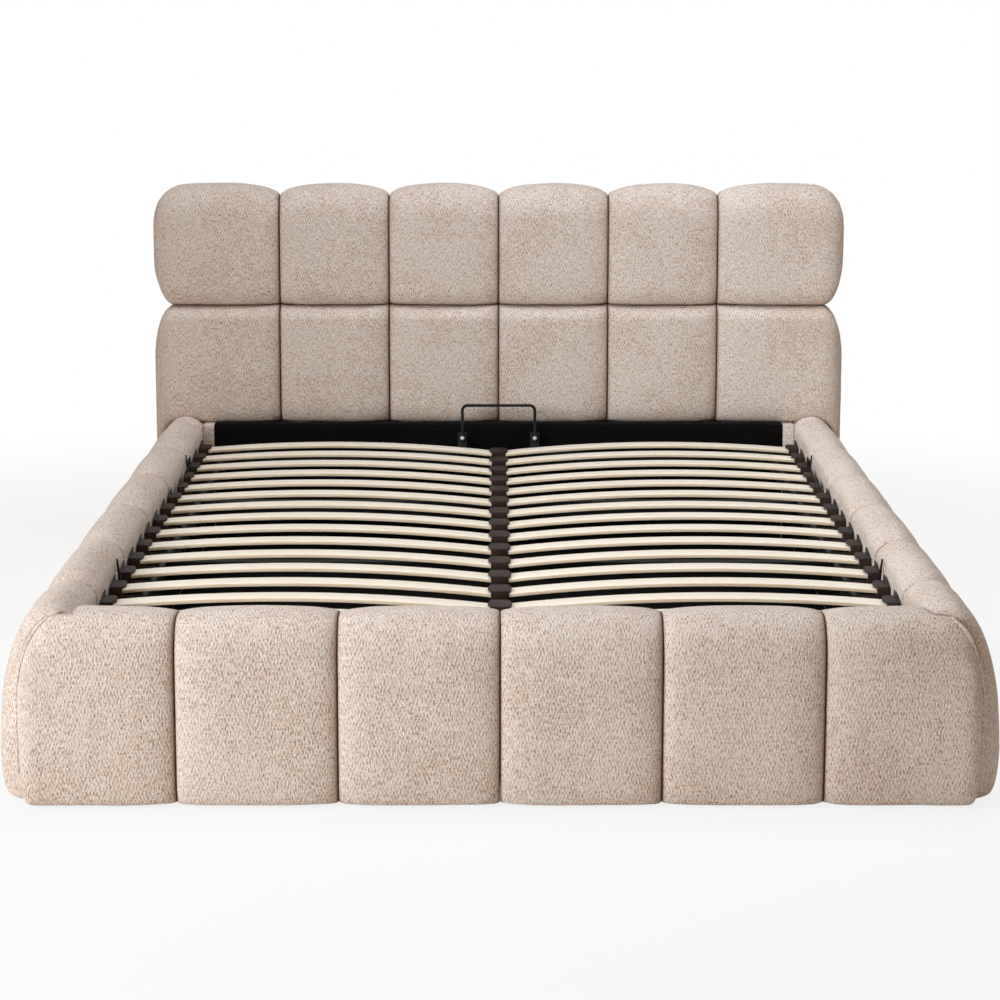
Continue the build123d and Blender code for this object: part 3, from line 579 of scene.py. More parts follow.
def board_place(face, vert):
    """Weave place on a board's face, whichever way it looks."""
    if abs(face.normal.x) > 0.7:
        return (vert.co.y, vert.co.z)
    if abs(face.normal.y) > 0.7:
        return (vert.co.x, vert.co.z)
    return (vert.co.x, vert.co.y)


# Upholstery

# How many points each stretch of a pad's section has, from the back over the top
BACK_POINTS, CREST_POINTS, ROLL_POINTS, FRONT_POINTS, BASE_POINTS = 4, 8, 13, 9, 10
ROLL_START = BACK_POINTS + CREST_POINTS
FRONT_ROW = ROLL_START + ROLL_POINTS + FRONT_POINTS // 2
RINGS = 26

# How far the painted seam shade reaches, below and above a seam along each axis: along X further on
# a pad's right end, which faces away from the key light, and along Z further up, under the upper
# pads' bottoms
SEAM_SHADE_REACH = ((7 * MM, 2.5 * MM), (4 * MM, 4 * MM), (2 * MM, 5 * MM))


@dataclass
class PadEnd:
    """One end of a pad: how far its top, front and bottom are drawn in there.

    Each is the dip's size, its reach along the pad, and the power and root that shape it.
    """

    top: tuple
    front: tuple
    bottom: tuple

    def draw(self, distance):
        """The dips of top, front and bottom at a distance from the pad's end."""
        drops = []
        for size, reach, power, root in (self.top, self.front, self.bottom):
            share = min(max(1 - distance / reach, 0.0), 1.0)
            drops.append(size * (1 - (1 - share ** power) ** (1 / root)))
        return drops


def seam_end(top_dip, front_dip, reach):
    """The end of a pad that is sewn to its neighbour."""
    return PadEnd(
        (top_dip, reach, 2.1, 2.0), (front_dip, reach, 3.0, 2.1), (0.0, reach, 2.1, 2.0),
    )


@dataclass
class PadSection:
    """Section of a pad, as depth from its back and height.

    It has a straight back, a rolled top, a nearly flat front and a turned-in bottom.
    """

    depth: float
    top: float
    bottom: float
    crest: float
    back_drop: float
    roll_drop: float
    base_rise: float
    inset: float
    crown: float
    fullness: float = 2.15
    back_shares: tuple = (0.0, 0.25, 0.5, 0.75)

    def outline(self, drops, back_limit=0.0):
        """Points round the section, from the bottom of the back and over the top."""
        top = self.top - drops[0]
        front = self.depth - drops[1]
        bottom = self.bottom + drops[2]
        height = top - bottom
        squeeze = min(1.0, height / (self.top - self.bottom))
        back_drop = self.back_drop * squeeze
        roll = self.roll_drop * squeeze
        rise = self.base_rise * squeeze
        crest = min(self.crest, front * 0.6)
        inset = min(self.inset, front * 0.5)
        points = [(0.0, bottom + (height - back_drop) * share) for share in self.back_shares]
        for i in range(CREST_POINTS):
            turn = QUARTER_TURN * i / CREST_POINTS
            points.append((crest * (1 - math.cos(turn)), top - back_drop * (1 - math.sin(turn))))
        for i in range(ROLL_POINTS):
            turn = QUARTER_TURN * i / ROLL_POINTS
            across = math.sin(turn) ** (2 / self.fullness)
            down = 1 - math.cos(turn) ** (2 / self.fullness)
            points.append((crest + (front - crest) * across, top - roll * down))
        for i in range(FRONT_POINTS):
            share = i / FRONT_POINTS
            swell = self.crown * (1 - (2 * share - 1) ** 2) * squeeze
            points.append((front + swell, top - roll - (height - roll - rise) * share))
        for i in range(BASE_POINTS):
            turn = QUARTER_TURN * i / (BASE_POINTS - 1)
            inward = 1 - math.cos(turn) ** (2 / 2.3)
            down = math.sin(turn) ** (2 / 2.3)
            points.append((front - inset * inward, bottom + rise * (1 - down)))
        points += [((front - inset) * (1 - i / 4), bottom) for i in (1, 2, 3)]
        points.append(points[0])
        return [(max(depth, back_limit), z) for depth, z in points]


def measured(line, middle):
    """Distances over the cloth along a line of points, from its middle point."""
    gaps = [(after - before).length for before, after in zip(line, line[1:])]
    ahead = accumulate(gaps[middle:], initial=0.0)
    behind = list(accumulate(reversed(gaps[:middle]), initial=0.0))
    return [-distance for distance in behind[:0:-1]] + list(ahead)


def pad_mesh(section, start, far, length, to_world, seed, back_step=None):
    """A closed pad: a grid wrapped round its section, with both ends closed.

    back_step is (place, depth): past that place the pad has no back part.
    """
    stations = [length * (1 - math.cos(math.pi * i / RINGS)) / 2 for i in range(RINGS + 1)]
    if back_step:
        stations = sorted({*stations, back_step[0] - 0.2 * MM, back_step[0] + 0.2 * MM})
    points = []
    for place in stations:
        drops = [near + other for near, other in zip(start.draw(place), far.draw(length - place))]
        limit = back_step[1] if back_step and place > back_step[0] else 0.0
        points.append([to_world(place, *point) for point in section.outline(drops, limit)])
    across = [measured(line, len(points) // 2) for line in zip(*points)]
    down = [measured(line, FRONT_ROW) for line in points]
    columns, rows = len(points) - 1, len(points[0]) - 1
    bm = bmesh.new()
    bmesh.ops.create_grid(bm, x_segments=columns, y_segments=rows, size=1.0)
    index = {
        vert: (round((vert.co.x + 1) / 2 * columns), round((vert.co.y + 1) / 2 * rows))
        for vert in bm.verts
    }
    shift = 0.37 * seed

    def on_cloth(face, vert):
        column, row = index[vert]
        return (across[row][column] + shift, shift * 1.7 - down[column][row])

    weave_map(bm, on_cloth)
    for vert, (column, row) in index.items():
        vert.co = points[column][row]
    bmesh.ops.remove_doubles(bm, verts=bm.verts, dist=0.01 * MM)
    crease = bm.edges.layers.float.new("crease_edge")
    rims = [edge for edge in bm.edges if edge.is_boundary]
    for edge in rims:
        edge[crease] = 0.85
    caps = bmesh.ops.holes_fill(bm, edges=rims, sides=0)["faces"]
    borders = bmesh.ops.inset_individual(
        bm, faces=caps, thickness=6 * MM, depth=0.0, use_even_offset=True,
    )["faces"]
    weave_map(bm, upright_place, {*caps, *borders})
    bmesh.ops.recalc_face_normals(bm, faces=bm.faces)
    return bm


def gather(mesh, axis, amount, seed):
    """Small puckers where the cover is pulled into a seam, and slow swells between."""
    places = [vert.co[axis] for vert in mesh.vertices]
    first, last = min(places), max(places)
    normals = [vert.normal.copy() for vert in mesh.vertices]
    for vert, place, normal in zip(mesh.vertices, places, normals):
        edge = min(place - first, last - place)
        near = math.exp(-edge / (26 * MM)) * min(1.0, edge / (5 * MM))
        # Puckers are about 16 mm wide and 70 mm long, swells 110 mm and small ones 36 mm wide
        point = vert.co * 62.0
        point[axis] *= 0.22
        folds = noise.noise(point + Vector((seed * 3.1, 0, 0)))
        swell = noise.noise(vert.co * 9.0 + Vector((0, seed * 1.7, 0)))
        small = noise.noise(vert.co * 28.0 + Vector((0, 0, seed * 2.3)))
        fade = min(1.0, edge / (12 * MM))
        move = amount * 1.5 * near * folds + fade * (amount * 0.9 * swell + amount * 0.35 * small)
        vert.co += normal * move


def shade_seams(mesh, seams):
    """Write how near each point is to a sewn seam, 1 at the seam itself, to place the painted shade
    beside the seams.
    """
    shade = mesh.attributes.new("Seam", "FLOAT", "POINT")
    for vert, value in zip(mesh.vertices, shade.data):
        nearest = 0.0
        for axis, place in seams:
            gap = vert.co[axis] - place
            nearest = max(nearest, math.exp(-abs(gap) / SEAM_SHADE_REACH[axis][gap > 0]))
        value.value = nearest


def upholstered(name, bm, node, axis, seed, seams):
    """Finish one pad: smooth it, gather its cover and let it stand for its node."""
    piece = new_piece(name, bm, "base", CHENILLE)
    subdivide(piece)
    evaluated = piece.evaluated_get(bpy.context.evaluated_depsgraph_get())
    smooth = bpy.data.meshes.new_from_object(evaluated)
    piece.modifiers.clear()
    piece.data = smooth
    gather(smooth, axis, bpy.context.scene.bed_upholstery.pucker, seed)
    shade_seams(smooth, seams)
    subdivide(piece)
    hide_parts(node)
    return piece


def row_pad(name, node, number, board, section, start, free, seeds, seams=(), step_depth=None):
    """Build one of six pads that stand in a row against a board, three on each side.

    Returns the side of an outer pad and how far out it ends, and otherwise nothing.
    """
    low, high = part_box(node)
    near = min(abs(low.x), abs(high.x))
    length = abs(high.x - low.x)
    sign = 1 if number > 3 else -1
    outer = number in (1, 6)

    def to_world(along, out, z):
        return Vector((sign * (near + along), board - out, z))

    bm = pad_mesh(
        section, start, free if outer else start, length, to_world, seeds[0],
        (PANEL_FACE - near, step_depth) if outer and step_depth else None,
    )
    sewn = [*seams, (0, sign * near)]
    if not outer:
        sewn.append((0, sign * (near + length)))
    upholstered(name, bm, node, 0, seeds[1], sewn)
    return (sign, near + length) if outer else None


class BED_OT_headboard_pads(bpy.types.Operator):
    """Build the two rows of tufted pads on the headboard"""

    bl_idname = "bed.headboard_pads"
    bl_label = "Headboard Pads"

    def execute(self, context):
        # The upper row's cover stands a little higher, and the lower row's further out
        rise, proud = 6 * MM, 8 * MM
        low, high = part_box("headboard_pad_upper_3")
        seam_z = low.z
        upper = PadSection(
            depth=HEADBOARD_REAR - low.y - rise, top=high.z + rise, bottom=seam_z,
            crest=40 * MM, back_drop=24 * MM, roll_drop=92 * MM, base_rise=52 * MM,
            inset=44 * MM, crown=1.5 * MM,
        )
        low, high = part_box("headboard_pad_lower_3")
        lower = PadSection(
            depth=HEADBOARD_REAR - low.y + proud, top=high.z, bottom=low.z,
            crest=70 * MM, back_drop=2 * MM, roll_drop=38 * MM, base_rise=62 * MM,
            inset=34 * MM, crown=1.5 * MM,
        )
        seam_dip = (128 * MM, 50 * MM, 1.7, 1.7)
        side_dip = (62 * MM, 70 * MM, 2.3, 2.3)
        upper_free = PadEnd((108 * MM, 145 * MM, 3.5, 2.0), side_dip, seam_dip)
        lower_free = PadEnd(seam_dip, side_dip, (-95 * MM, 46 * MM, 1.6, 1.0))
        for row, section, top_dip, free, seed in (
            ("upper", upper, 35.5 * MM, upper_free, 0), ("lower", lower, 0.0, lower_free, 10),
        ):
            start = seam_end(top_dip, 40 * MM, 150 * MM)
            for number in range(1, 7):
                row_pad(
                    f"headboard_cushion_{row}_{number}", f"headboard_pad_{row}_{number}", number,
                    HEADBOARD_REAR, section, start, free, (number, seed + number), [(2, seam_z)],
                )
        return {"FINISHED"}


class BED_OT_footboard_pads(bpy.types.Operator):
    """Build the six upright pads of the footboard and the piping at its corners"""

    bl_idname = "bed.footboard_pads"
    bl_label = "Footboard Pads"

    def execute(self, context):
        low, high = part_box("footboard_pad_3")
        section = PadSection(
            depth=FOOTBOARD_BACK - low.y, top=high.z - 2.3 * MM, bottom=low.z,
            crest=95 * MM, back_drop=31 * MM, roll_drop=84 * MM, base_rise=46 * MM,
            inset=16 * MM, crown=1.5 * MM,
        )
        start = seam_end(13 * MM, 24 * MM, 120 * MM)
        free = PadEnd(
            (172 * MM, 98 * MM, 2.6, 2.6), (34 * MM, 40 * MM, 2.2, 2.2),
            (100 * MM, 17 * MM, 1.8, 1.8),
        )
        rail_depth = FOOTBOARD_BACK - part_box("side_pad_right_1")[0].y
        for number in range(1, 7):
            corner = row_pad(
                f"footboard_cushion_{number}", f"footboard_pad_{number}", number,
                FOOTBOARD_BACK, section, start, free, (20 + number, 20 + number),
                step_depth=rail_depth,
            )
            if corner:
                self.piping(section, free, *corner)
        return {"FINISHED"}

    def piping(self, section, free, sign, end):
        """Welt sewn round the outer edge of the corner pad's front."""
        # Over the roll it comes out to the pad's end step by step, and then it runs down
        insets = (86, 72, 59, 47, 36, 27, 19, 13, 8, 5)
        first, last = ROLL_START + 1, FRONT_ROW + FRONT_POINTS // 2 + BASE_POINTS - 1
        route = []
        for point, inset in enumerate(insets, first):
            depth, z = section.outline(free.draw(inset * MM))[point]
            route.append((end - inset * MM, depth, z))
        for depth, z in section.outline(free.draw(2 * MM))[first + len(insets):last]:
            route.append((end - 1.5 * MM, depth, z))
        curve = bpy.data.curves.new("welt", "CURVE")
        curve.dimensions = "3D"
        curve.bevel_depth = bpy.context.scene.bed_upholstery.welt_radius
        curve.bevel_resolution = 2
        line = curve.splines.new("POLY")
        line.points.add(len(route) - 1)
        for point, (x, depth, z) in zip(line.points, route):
            point.co = (sign * x, FOOTBOARD_BACK - depth, z, 1.0)
        rough = in_scene("welt", curve)
        mesh = bpy.data.meshes.new_from_object(
            rough.evaluated_get(bpy.context.evaluated_depsgraph_get()))
        bpy.data.objects.remove(rough)
        bm = bmesh.new()
        bm.from_mesh(mesh)
        bmesh.ops.holes_fill(bm, edges=[e for e in bm.edges if e.is_boundary], sides=0)
        weave_map(bm, upright_place)
        side = "right" if sign > 0 else "left"
        new_piece(f"footboard_welt_{side}", bm, "base", CHENILLE)


class BED_OT_side_rail_pads(bpy.types.Operator):
    """Build the padded side rails, six pads a side"""

    bl_idname = "bed.side_rail_pads"
    bl_label = "Side Rail Pads"

    def execute(self, context):
        before_low, before_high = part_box("side_pad_right_2")
        low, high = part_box("side_pad_right_3")
        seam_gap = low.y - before_high.y
        pitch = low.y - before_low.y
        section = PadSection(
            depth=high.x - low.x, top=high.z - 0.6 * MM, bottom=low.z, crest=53 * MM,
            back_drop=38 * MM, roll_drop=278 * MM, base_rise=84 * MM, inset=20 * MM,
            crown=0.6 * MM, fullness=2.0, back_shares=(0.0, 0.4, 0.81, 0.86),
        )
        level = (0.0, 1.0, 2.0, 2.0)
        start = seam_end(21 * MM, 7 * MM, 130 * MM)
        front = PadEnd((44 * MM, 48 * MM, 2.2, 2.2), (58 * MM, 62 * MM, 2.2, 2.2), level)
        tail = PadEnd((30 * MM, 110 * MM, 9.0, 2.0), (16 * MM, 60 * MM, 4.0, 2.2), level)
        for side, sign in SIDES:
            for number in range(1, 7):
                node = f"side_pad_{side}_{number}"
                name = f"rail_cushion_{side}_{number}"
                low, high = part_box(node)
                pads = [(name, low.y, high.y, front if number == 1 else start)]
                if number == 6:
                    # The last pad has a short one behind it, which runs on under the headboard
                    seam = low.y + pitch
                    pads = [
                        (name, low.y, seam - seam_gap, start), (f"{name}_end", seam, high.y, tail),
                    ]
                for name, first, last, far in pads:
                    bm = pad_mesh(
                        section, start, far, last - first,
                        self.on_rail(sign, first, last, far is front),
                        30 + number + (7 if side == "left" else 0),
                    )
                    seams = [(1, first), (1, last)]
                    if far is not start:
                        seams = [(1, last if far is front else first)]
                    piece = upholstered(name, bm, node, 1, 40 + number * sign, seams)
                    self.hold_to_board(piece)
                    if far is tail:
                        self.tuck_under(piece)
        return {"FINISHED"}

    def on_rail(self, sign, first, last, flip):
        """Places of a pad on a rail, counted from its last point where it is flipped."""

        def to_world(along, out, z):
            y = last - along if flip else first + along
            return Vector((sign * (PANEL_FACE + out - self.inner_swell(out, y, z)), y, z))

        return to_world

    def inner_swell(self, out, y, z):
        """How far the cover swells towards the slats, above the slat caps only."""
        shares = (
            (z - 290 * MM) / (9 * MM), (392 * MM - z) / (45 * MM), 1 - out / (40 * MM),
            (y - FOOTBOARD_BACK - 2 * MM) / (12 * MM), (END_BOARD_FACE - y) / (20 * MM),
        )
        return 2.4 * MM * min(1.0, max(0.0, min(shares)))

    def hold_to_board(self, piece):
        """Keep the cover behind the lining wherever the lining covers the board."""
        behind = PANEL_FACE + 0.3 * MM
        for vert in piece.data.vertices:
            if vert.co.z < CAPS_UNDERSIDE + 2 * MM and abs(vert.co.x) < behind:
                vert.co.x = math.copysign(behind, vert.co.x)

    def tuck_under(self, piece):
        """Press the last pad down where it runs on under the headboard."""
        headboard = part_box("headboard_pad_lower_6")[0]
        ceiling = headboard.z - 2 * MM
        for vert in piece.data.vertices:
            if vert.co.y > headboard.y - 3 * MM and vert.co.z > ceiling:
                vert.co.z = ceiling


def lining(name, corner, across, up, columns, seed):
    """A thin stretched cloth over a board's face, with slow waves in it."""
    bm = bmesh.new()
    bmesh.ops.create_grid(bm, x_segments=columns, y_segments=20, size=0.5)
    flat = {vert: (vert.co.x + 0.5, vert.co.y + 0.5) for vert in bm.verts}
    weave_map(bm, lambda face, vert: (
        flat[vert][0] * across.length + 0.11 * seed, flat[vert][1] * up.length,
    ))
    outward = across.cross(up).normalized()
    for vert, (u, v) in flat.items():
        point = corner + across * u + up * v
        calm = min(1.0, 8 * min(u, 1 - u), 8 * min(v, 1 - v))
        lift = 0.8 * MM * calm * (0.5 + 0.5 * noise.noise(point * 7.0 + Vector((seed, 0, 0))))
        vert.co = point + outward * lift
    piece = new_piece(name, bm, "base", NONWOVEN)
    thicken(piece, bpy.context.scene.bed_upholstery.cover_thickness, 1.0)


class BED_OT_linings(bpy.types.Operator):
    """Build the cloth on the inner faces of the rails and footboard, and on the back"""

    bl_idname = "bed.linings"
    bl_label = "Linings And Back Cloth"

    staple_step = 62 * MM

    def execute(self, context):
        clear = 0.2 * MM
        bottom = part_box("storage_floor")[1].z + 0.3 * MM
        up = Vector((0, 0, CAPS_UNDERSIDE - bottom))
        span = END_BOARD_FACE - FOOTBOARD_BACK - 2 * MM
        for side, sign in SIDES:
            first = END_BOARD_FACE - MM if sign > 0 else FOOTBOARD_BACK + MM
            lining(
                f"rail_lining_{side}", Vector((sign * (PANEL_FACE - clear), first, bottom)),
                Vector((0, -sign * span, 0)), up, 120, 3 + sign,
            )
        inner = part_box("head_end_board")[1].x + 1.5 * MM
        width = PANEL_FACE - 2 * MM - inner
        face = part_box("head_corner_posts")[0].y - clear
        for side, start in (("left", -inner - width), ("right", inner)):
            lining(
                f"post_lining_{side}", Vector((start, face, bottom)), Vector((width, 0, 0)),
                up, 6, 12,
            )
        low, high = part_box("footboard_panel")
        lining(
            "footboard_lining", Vector((high.x - 2 * MM, high.y + clear, bottom)),
            Vector((low.x - high.x + 4 * MM, 0, 0)), up, 100, 9,
        )
        for node in (
            "side_rail_panel_left", "side_rail_panel_right", "footboard_panel",
            "head_corner_posts", "headboard_panel",
        ):
            self.covered(node)
        self.back_cloth()
        self.end_board()
        return {"FINISHED"}

    def covered(self, node):
        """A board wrapped in the upholstery cloth, edges softened by it."""
        piece = refined(node, f"covered_{node}", CHENILLE, 2.5 * MM, 3)
        bm = bmesh.new()
        bm.from_mesh(piece.data)
        weave_map(bm, board_place)
        bm.to_mesh(piece.data)
        bm.free()

    def back_cloth(self):
        """Black dust cloth, stapled round its edge to the back of the headboard."""
        low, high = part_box("headboard_back_cloth")
        bm = bmesh.new()
        bmesh.ops.create_grid(bm, x_segments=124, y_segments=64, size=0.5)
        width, height = high.x - low.x, high.z - low.z
        for vert in bm.verts:
            u, v = vert.co.x + 0.5, vert.co.y + 0.5
            point = Vector((low.x + width * u, low.y + 1.2 * MM, low.z + height * v))
            edge = min(u * width, (1 - u) * width, v * height, (1 - v) * height)
            loose = min(1.0, edge / (120 * MM))
            # Beside the edge the cloth rises between the staples
            run = v * height if edge == u * width else u * width
            pull = 1 - abs((run / self.staple_step) % 1 - 0.5) * 2
            sag = noise.noise(Vector((point.x * 2.2, point.z * 3.0, 4.0)))
            crease = noise.noise(Vector((point.x * 9.0 + point.z * 7.0, point.z * 2.0, 1.0)))
            lift = loose * (1.2 * sag + 0.5 * crease) + (1 - loose) * 0.5 * pull
            point.y += (0.6 + lift) * MM
            vert.co = point
        bmesh.ops.recalc_face_normals(bm, faces=bm.faces)
        for face in bm.faces:
            if face.normal.y < 0:
                face.normal_flip()
        piece = new_piece("headboard_dust_cloth", bm, "base", NONWOVEN)
        thicken(piece, 0.8 * MM, -1.0)
        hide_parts("headboard_back_cloth")
        self.staples(low, high)

    def staples(self, low, high):
        """Flat-wire staples, 12 mm in from the cloth's edge."""
        inset = 12 * MM
        places = []
        run = high.x - low.x - 2 * inset
        count = round(run / self.staple_step)
        for i in range(count + 1):
            x = low.x + inset + run * i / count
            places += [(x, high.z - inset, 0.0), (x, low.z + inset, 0.0)]
        run = high.z - low.z - 2 * inset
        count = round(run / self.staple_step)
        for i in range(1, count):
            z = low.z + inset + run * i / count
            places += [(low.x + inset, z, QUARTER_TURN), (high.x - inset, z, QUARTER_TURN)]
        bm = bmesh.new()
        for x, z, turn in places:
            matrix = (
                Matrix.Translation((x, low.y + 2.9 * MM, z))
                @ Matrix.Rotation(turn + 0.12 * math.sin(x * 57 + z * 31), 4, "Y")
                @ Matrix.Diagonal((11 * MM, 1.4 * MM, 1.2 * MM, 1.0))
            )
            bmesh.ops.create_cube(bm, size=1.0, matrix=matrix)
        rounded(bm, bm.edges[:], 0.3 * MM, 1)
        new_piece("dust_cloth_staples", bm, "base", ZINC)

    def end_board(self):
        """Board wrapped in black cloth, its edges rounded by the wrap."""
        low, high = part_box("head_end_board")
        middle = (low + high) / 2
        bm = bmesh.new()
        bmesh.ops.create_cube(
            bm, size=1.0, matrix=Matrix.Translation(middle) @ Matrix.Diagonal((*(high - low), 1.0)),
        )
        for axis, cuts in ((0, 110), (2, 16)):
            edges = [e for e in bm.edges if abs(e.verts[0].co[axis] - e.verts[1].co[axis]) > MM]
            bmesh.ops.subdivide_edges(bm, edges=edges, cuts=cuts, use_grid_fill=True)
        rounded(bm, [e for e in bm.edges if e.calc_face_angle(0.0) > 1.0], 5 * MM, 3)
        for vert in bm.verts:
            point = vert.co
            rise = noise.noise(Vector((point.x * 14, 0.0, point.z * 5 + point.x * 3)))
            fine = noise.noise(Vector((point.x * 40, 2.0, point.z * 9)))
            point.y += (0.9 * rise + 0.3 * fine) * MM if point.y < middle.y else 0.0
            point.z += 0.7 * rise * MM if point.z > high.z - 6 * MM else 0.0
        piece = new_piece("wrapped_end_board", bm, "base", NONWOVEN)
        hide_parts("head_end_board")


class BED_OT_boards(bpy.types.Operator):
    """Finish the storage floor, its bearers and the glides"""

    bl_idname = "bed.boards"
    bl_label = "Boards And Glides"

    def execute(self, context):
        # The storage floor is lined in black cloth; its black stands in for the shade in the closed
        # box, seen between the slats
        refined("storage_floor", "storage_floor_black_for_shade", NONWOVEN, 0.8 * MM)
        refined("floor_bearers", "spruce_floor_bearers", SPRUCE, 1.5 * MM)
        self.glides()
        return {"FINISHED"}

    def glides(self):
        """Round glides with a domed wearing face and a grip groove."""
        profile = (
            (0.0, 0.0), (15.0, 0.0), (18.5, 0.8), (20.0, 2.4), (20.0, 4.4), (19.0, 5.0),
            (19.0, 5.8), (20.0, 6.4), (20.0, 8.0), (0.0, 8.0),
        )
        bm = bmesh.new()
        for x, y in self.centres():
            verts = [bm.verts.new((x + radius * MM, y, z * MM)) for radius, z in profile]
            edges = [bm.edges.new(pair) for pair in zip(verts, verts[1:])]
            bmesh.ops.spin(
                bm, geom=verts + edges, cent=(x, y, 0.0), axis=(0, 0, 1),
                angle=2 * math.pi, steps=28, use_merge=True,
            )
        bmesh.ops.remove_doubles(bm, verts=bm.verts, dist=0.01 * MM)
        bmesh.ops.recalc_face_normals(bm, faces=bm.faces)
        mark_sharp(bm, 40)
        piece = new_piece("floor_glides", bm, "base", PLASTIC)
        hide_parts("glide_feet")

    def centres(self):
        """Middle of each glide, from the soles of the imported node's glides."""
        apart = 60 * MM
        soles = []
        for vert in frame["nodes"]["glide_feet"].data.vertices:
            if vert.co.z >= 0.1 * MM:
                continue
            for sole in soles:
                if (sole[0] - vert.co).length < apart:
                    sole.append(vert.co.copy())
                    break
            else:
                soles.append([vert.co.copy()])
        return [
            tuple((min(values) + max(values)) / 2 for values in list(zip(*sole))[:2])
            for sole in soles
        ]


# Platform

SLAT_ROWS = 15
SLAT_WIDTH = 53 * MM
SLAT_THICKNESS = 8 * MM
CAP_RISE = 9 * MM
TUBE_EDGE = 790 * MM


def long_edges(edges, length):
    """The edges that are longer than this across the bed."""
    return [edge for edge in edges if abs(edge.verts[0].co.x - edge.verts[1].co.x) > length]


class BED_OT_slats(bpy.types.Operator):
    """Build the bowed birch slats"""

    bl_idname = "bed.slats"
    bl_label = "Slats"

    def execute(self, context):
        look = context.scene.bed_timber
        for side, sign in SIDES:
            low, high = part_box(f"slats_{side}")
            inner, outer = sorted((abs(low.x), abs(high.x)))
            span = outer - inner
            first, last = low.y + SLAT_WIDTH / 2, high.y - SLAT_WIDTH / 2
            bm = bmesh.new()
            for row in range(SLAT_ROWS):
                y = first + (last - first) * row / (SLAT_ROWS - 1)
                middle = Vector((sign * (inner + outer) / 2, y, low.z + SLAT_THICKNESS / 2))
                box = bmesh.ops.create_cube(
                    bm, size=1.0, matrix=Matrix.Translation(middle)
                    @ Matrix.Diagonal((span, SLAT_WIDTH, SLAT_THICKNESS, 1.0)),
                )
                verts = set(box["verts"])
                edges = [e for e in bm.edges if e.verts[0] in verts]
                rounded(bm, long_edges(edges, MM), look.slat_round, 3)
            bmesh.ops.subdivide_edges(bm, edges=long_edges(bm.edges, span / 2), cuts=27)
            # Each slat is bowed upwards, and rises from its centre holder to its cap
            rise = high.z - low.z - SLAT_THICKNESS - CAP_RISE / 2
            radius = (span * span / 4 + rise * rise) / (2 * rise)
            for vert in bm.verts:
                off = abs(vert.co.x) - (inner + outer) / 2
                vert.co.z += rise - (radius - math.sqrt(radius * radius - off * off))
                vert.co.z += CAP_RISE * (off / span + 0.5)
            bmesh.ops.recalc_face_normals(bm, faces=bm.faces)
            mark_sharp(bm, 50)
            piece = new_piece(f"birch_slats_{side}", bm, "platform", BIRCH)
            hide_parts(f"slats_{side}")
        return {"FINISHED"}


class BED_OT_slat_holders(bpy.types.Operator):
    """Finish the plastic caps and centre holders that carry the slats"""

    bl_idname = "bed.slat_holders"
    bl_label = "Slat Holders"

    def execute(self, context):
        caps = refined("slat_caps", "moulded_slat_caps", PLASTIC, 0.7 * MM)
        arm_low, arm_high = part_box("lift_arm_right")
        beside = 32 * MM
        for vert in caps.data.vertices:
            if abs(vert.co.x) < TUBE_EDGE:
                continue
            # The outer walls stand nearer to the rails, but keep clear of the lift arms
            beside_arm = arm_low.y - beside < vert.co.y < arm_high.y + beside
            vert.co.x += math.copysign(2 * MM if beside_arm else 8 * MM, vert.co.x)
        refined("centre_slat_holders", "moulded_centre_holders", PLASTIC, 0.7 * MM)
        return {"FINISHED"}


class BED_OT_platform_frame(bpy.types.Operator):
    """Finish the steel tubes of the platform, its rests and the mattress stops"""

    bl_idname = "bed.platform_frame"
    bl_label = "Platform Frame"

    def execute(self, context):
        for node in (
            "platform_side_tubes", "platform_cross_tubes", "platform_centre_tube",
            "platform_rests",
        ):
            refined(node, f"coated_{node}", MATT_COAT, context.scene.bed_metal.edge_round)
        stops = refined("mattress_side_stops", "pointed_side_stops", GLOSS_COAT, 0.9 * MM)
        foot_top = 322 * MM
        for vert in stops.data.vertices:
            # The blade leans out to the rail above its foot, and is widest at half height
            rise = min(1.0, max(0.0, (vert.co.z - foot_top) / (8 * MM)))
            outer = (abs(vert.co.x) - TUBE_EDGE) / (10 * MM)
            vert.co.x += math.copysign(rise * (1.5 + 4.0 * outer) * MM, vert.co.x)
        return {"FINISHED"}


class BED_OT_mattress_retainer(bpy.types.Operator):
    """Build the bent wire that holds the mattress and its two screws"""

    bl_idname = "bed.mattress_retainer"
    bl_label = "Mattress Retainer"

    def execute(self, context):
        refined("mattress_retainer", "bent_wire_retainer", MATT_COAT, 0.4 * MM)
        refined("retainer_screws", "retainer_pan_screws", ZINC, 0.8 * MM)
        return {"FINISHED"}


class BED_OT_lift_mechanism(bpy.types.Operator):
    """Finish the hinge plates, pins, bolts, lift arms and gas struts"""

    bl_idname = "bed.lift_mechanism"
    bl_label = "Lift Mechanism"

    def execute(self, context):
        edge_round = context.scene.bed_metal.edge_round
        refined("hinge_plates", "coated_hinge_plates", MATT_COAT, edge_round)
        refined("hinge_pins", "zinc_hinge_pins", ZINC, 0.5 * MM)
        refined("frame_bolts", "zinc_frame_bolts", ZINC, 0.6 * MM)
        for side in ("left", "right"):
            refined(f"lift_arm_{side}", f"coated_lift_arm_{side}", MATT_COAT, edge_round)
            refined(f"strut_tube_{side}", f"gas_strut_tube_{side}", MATT_COAT, 0.5 * MM)
            refined(f"strut_rod_{side}", f"gas_strut_rod_{side}", CHROME, 0.4 * MM)
        return {"FINISHED"}


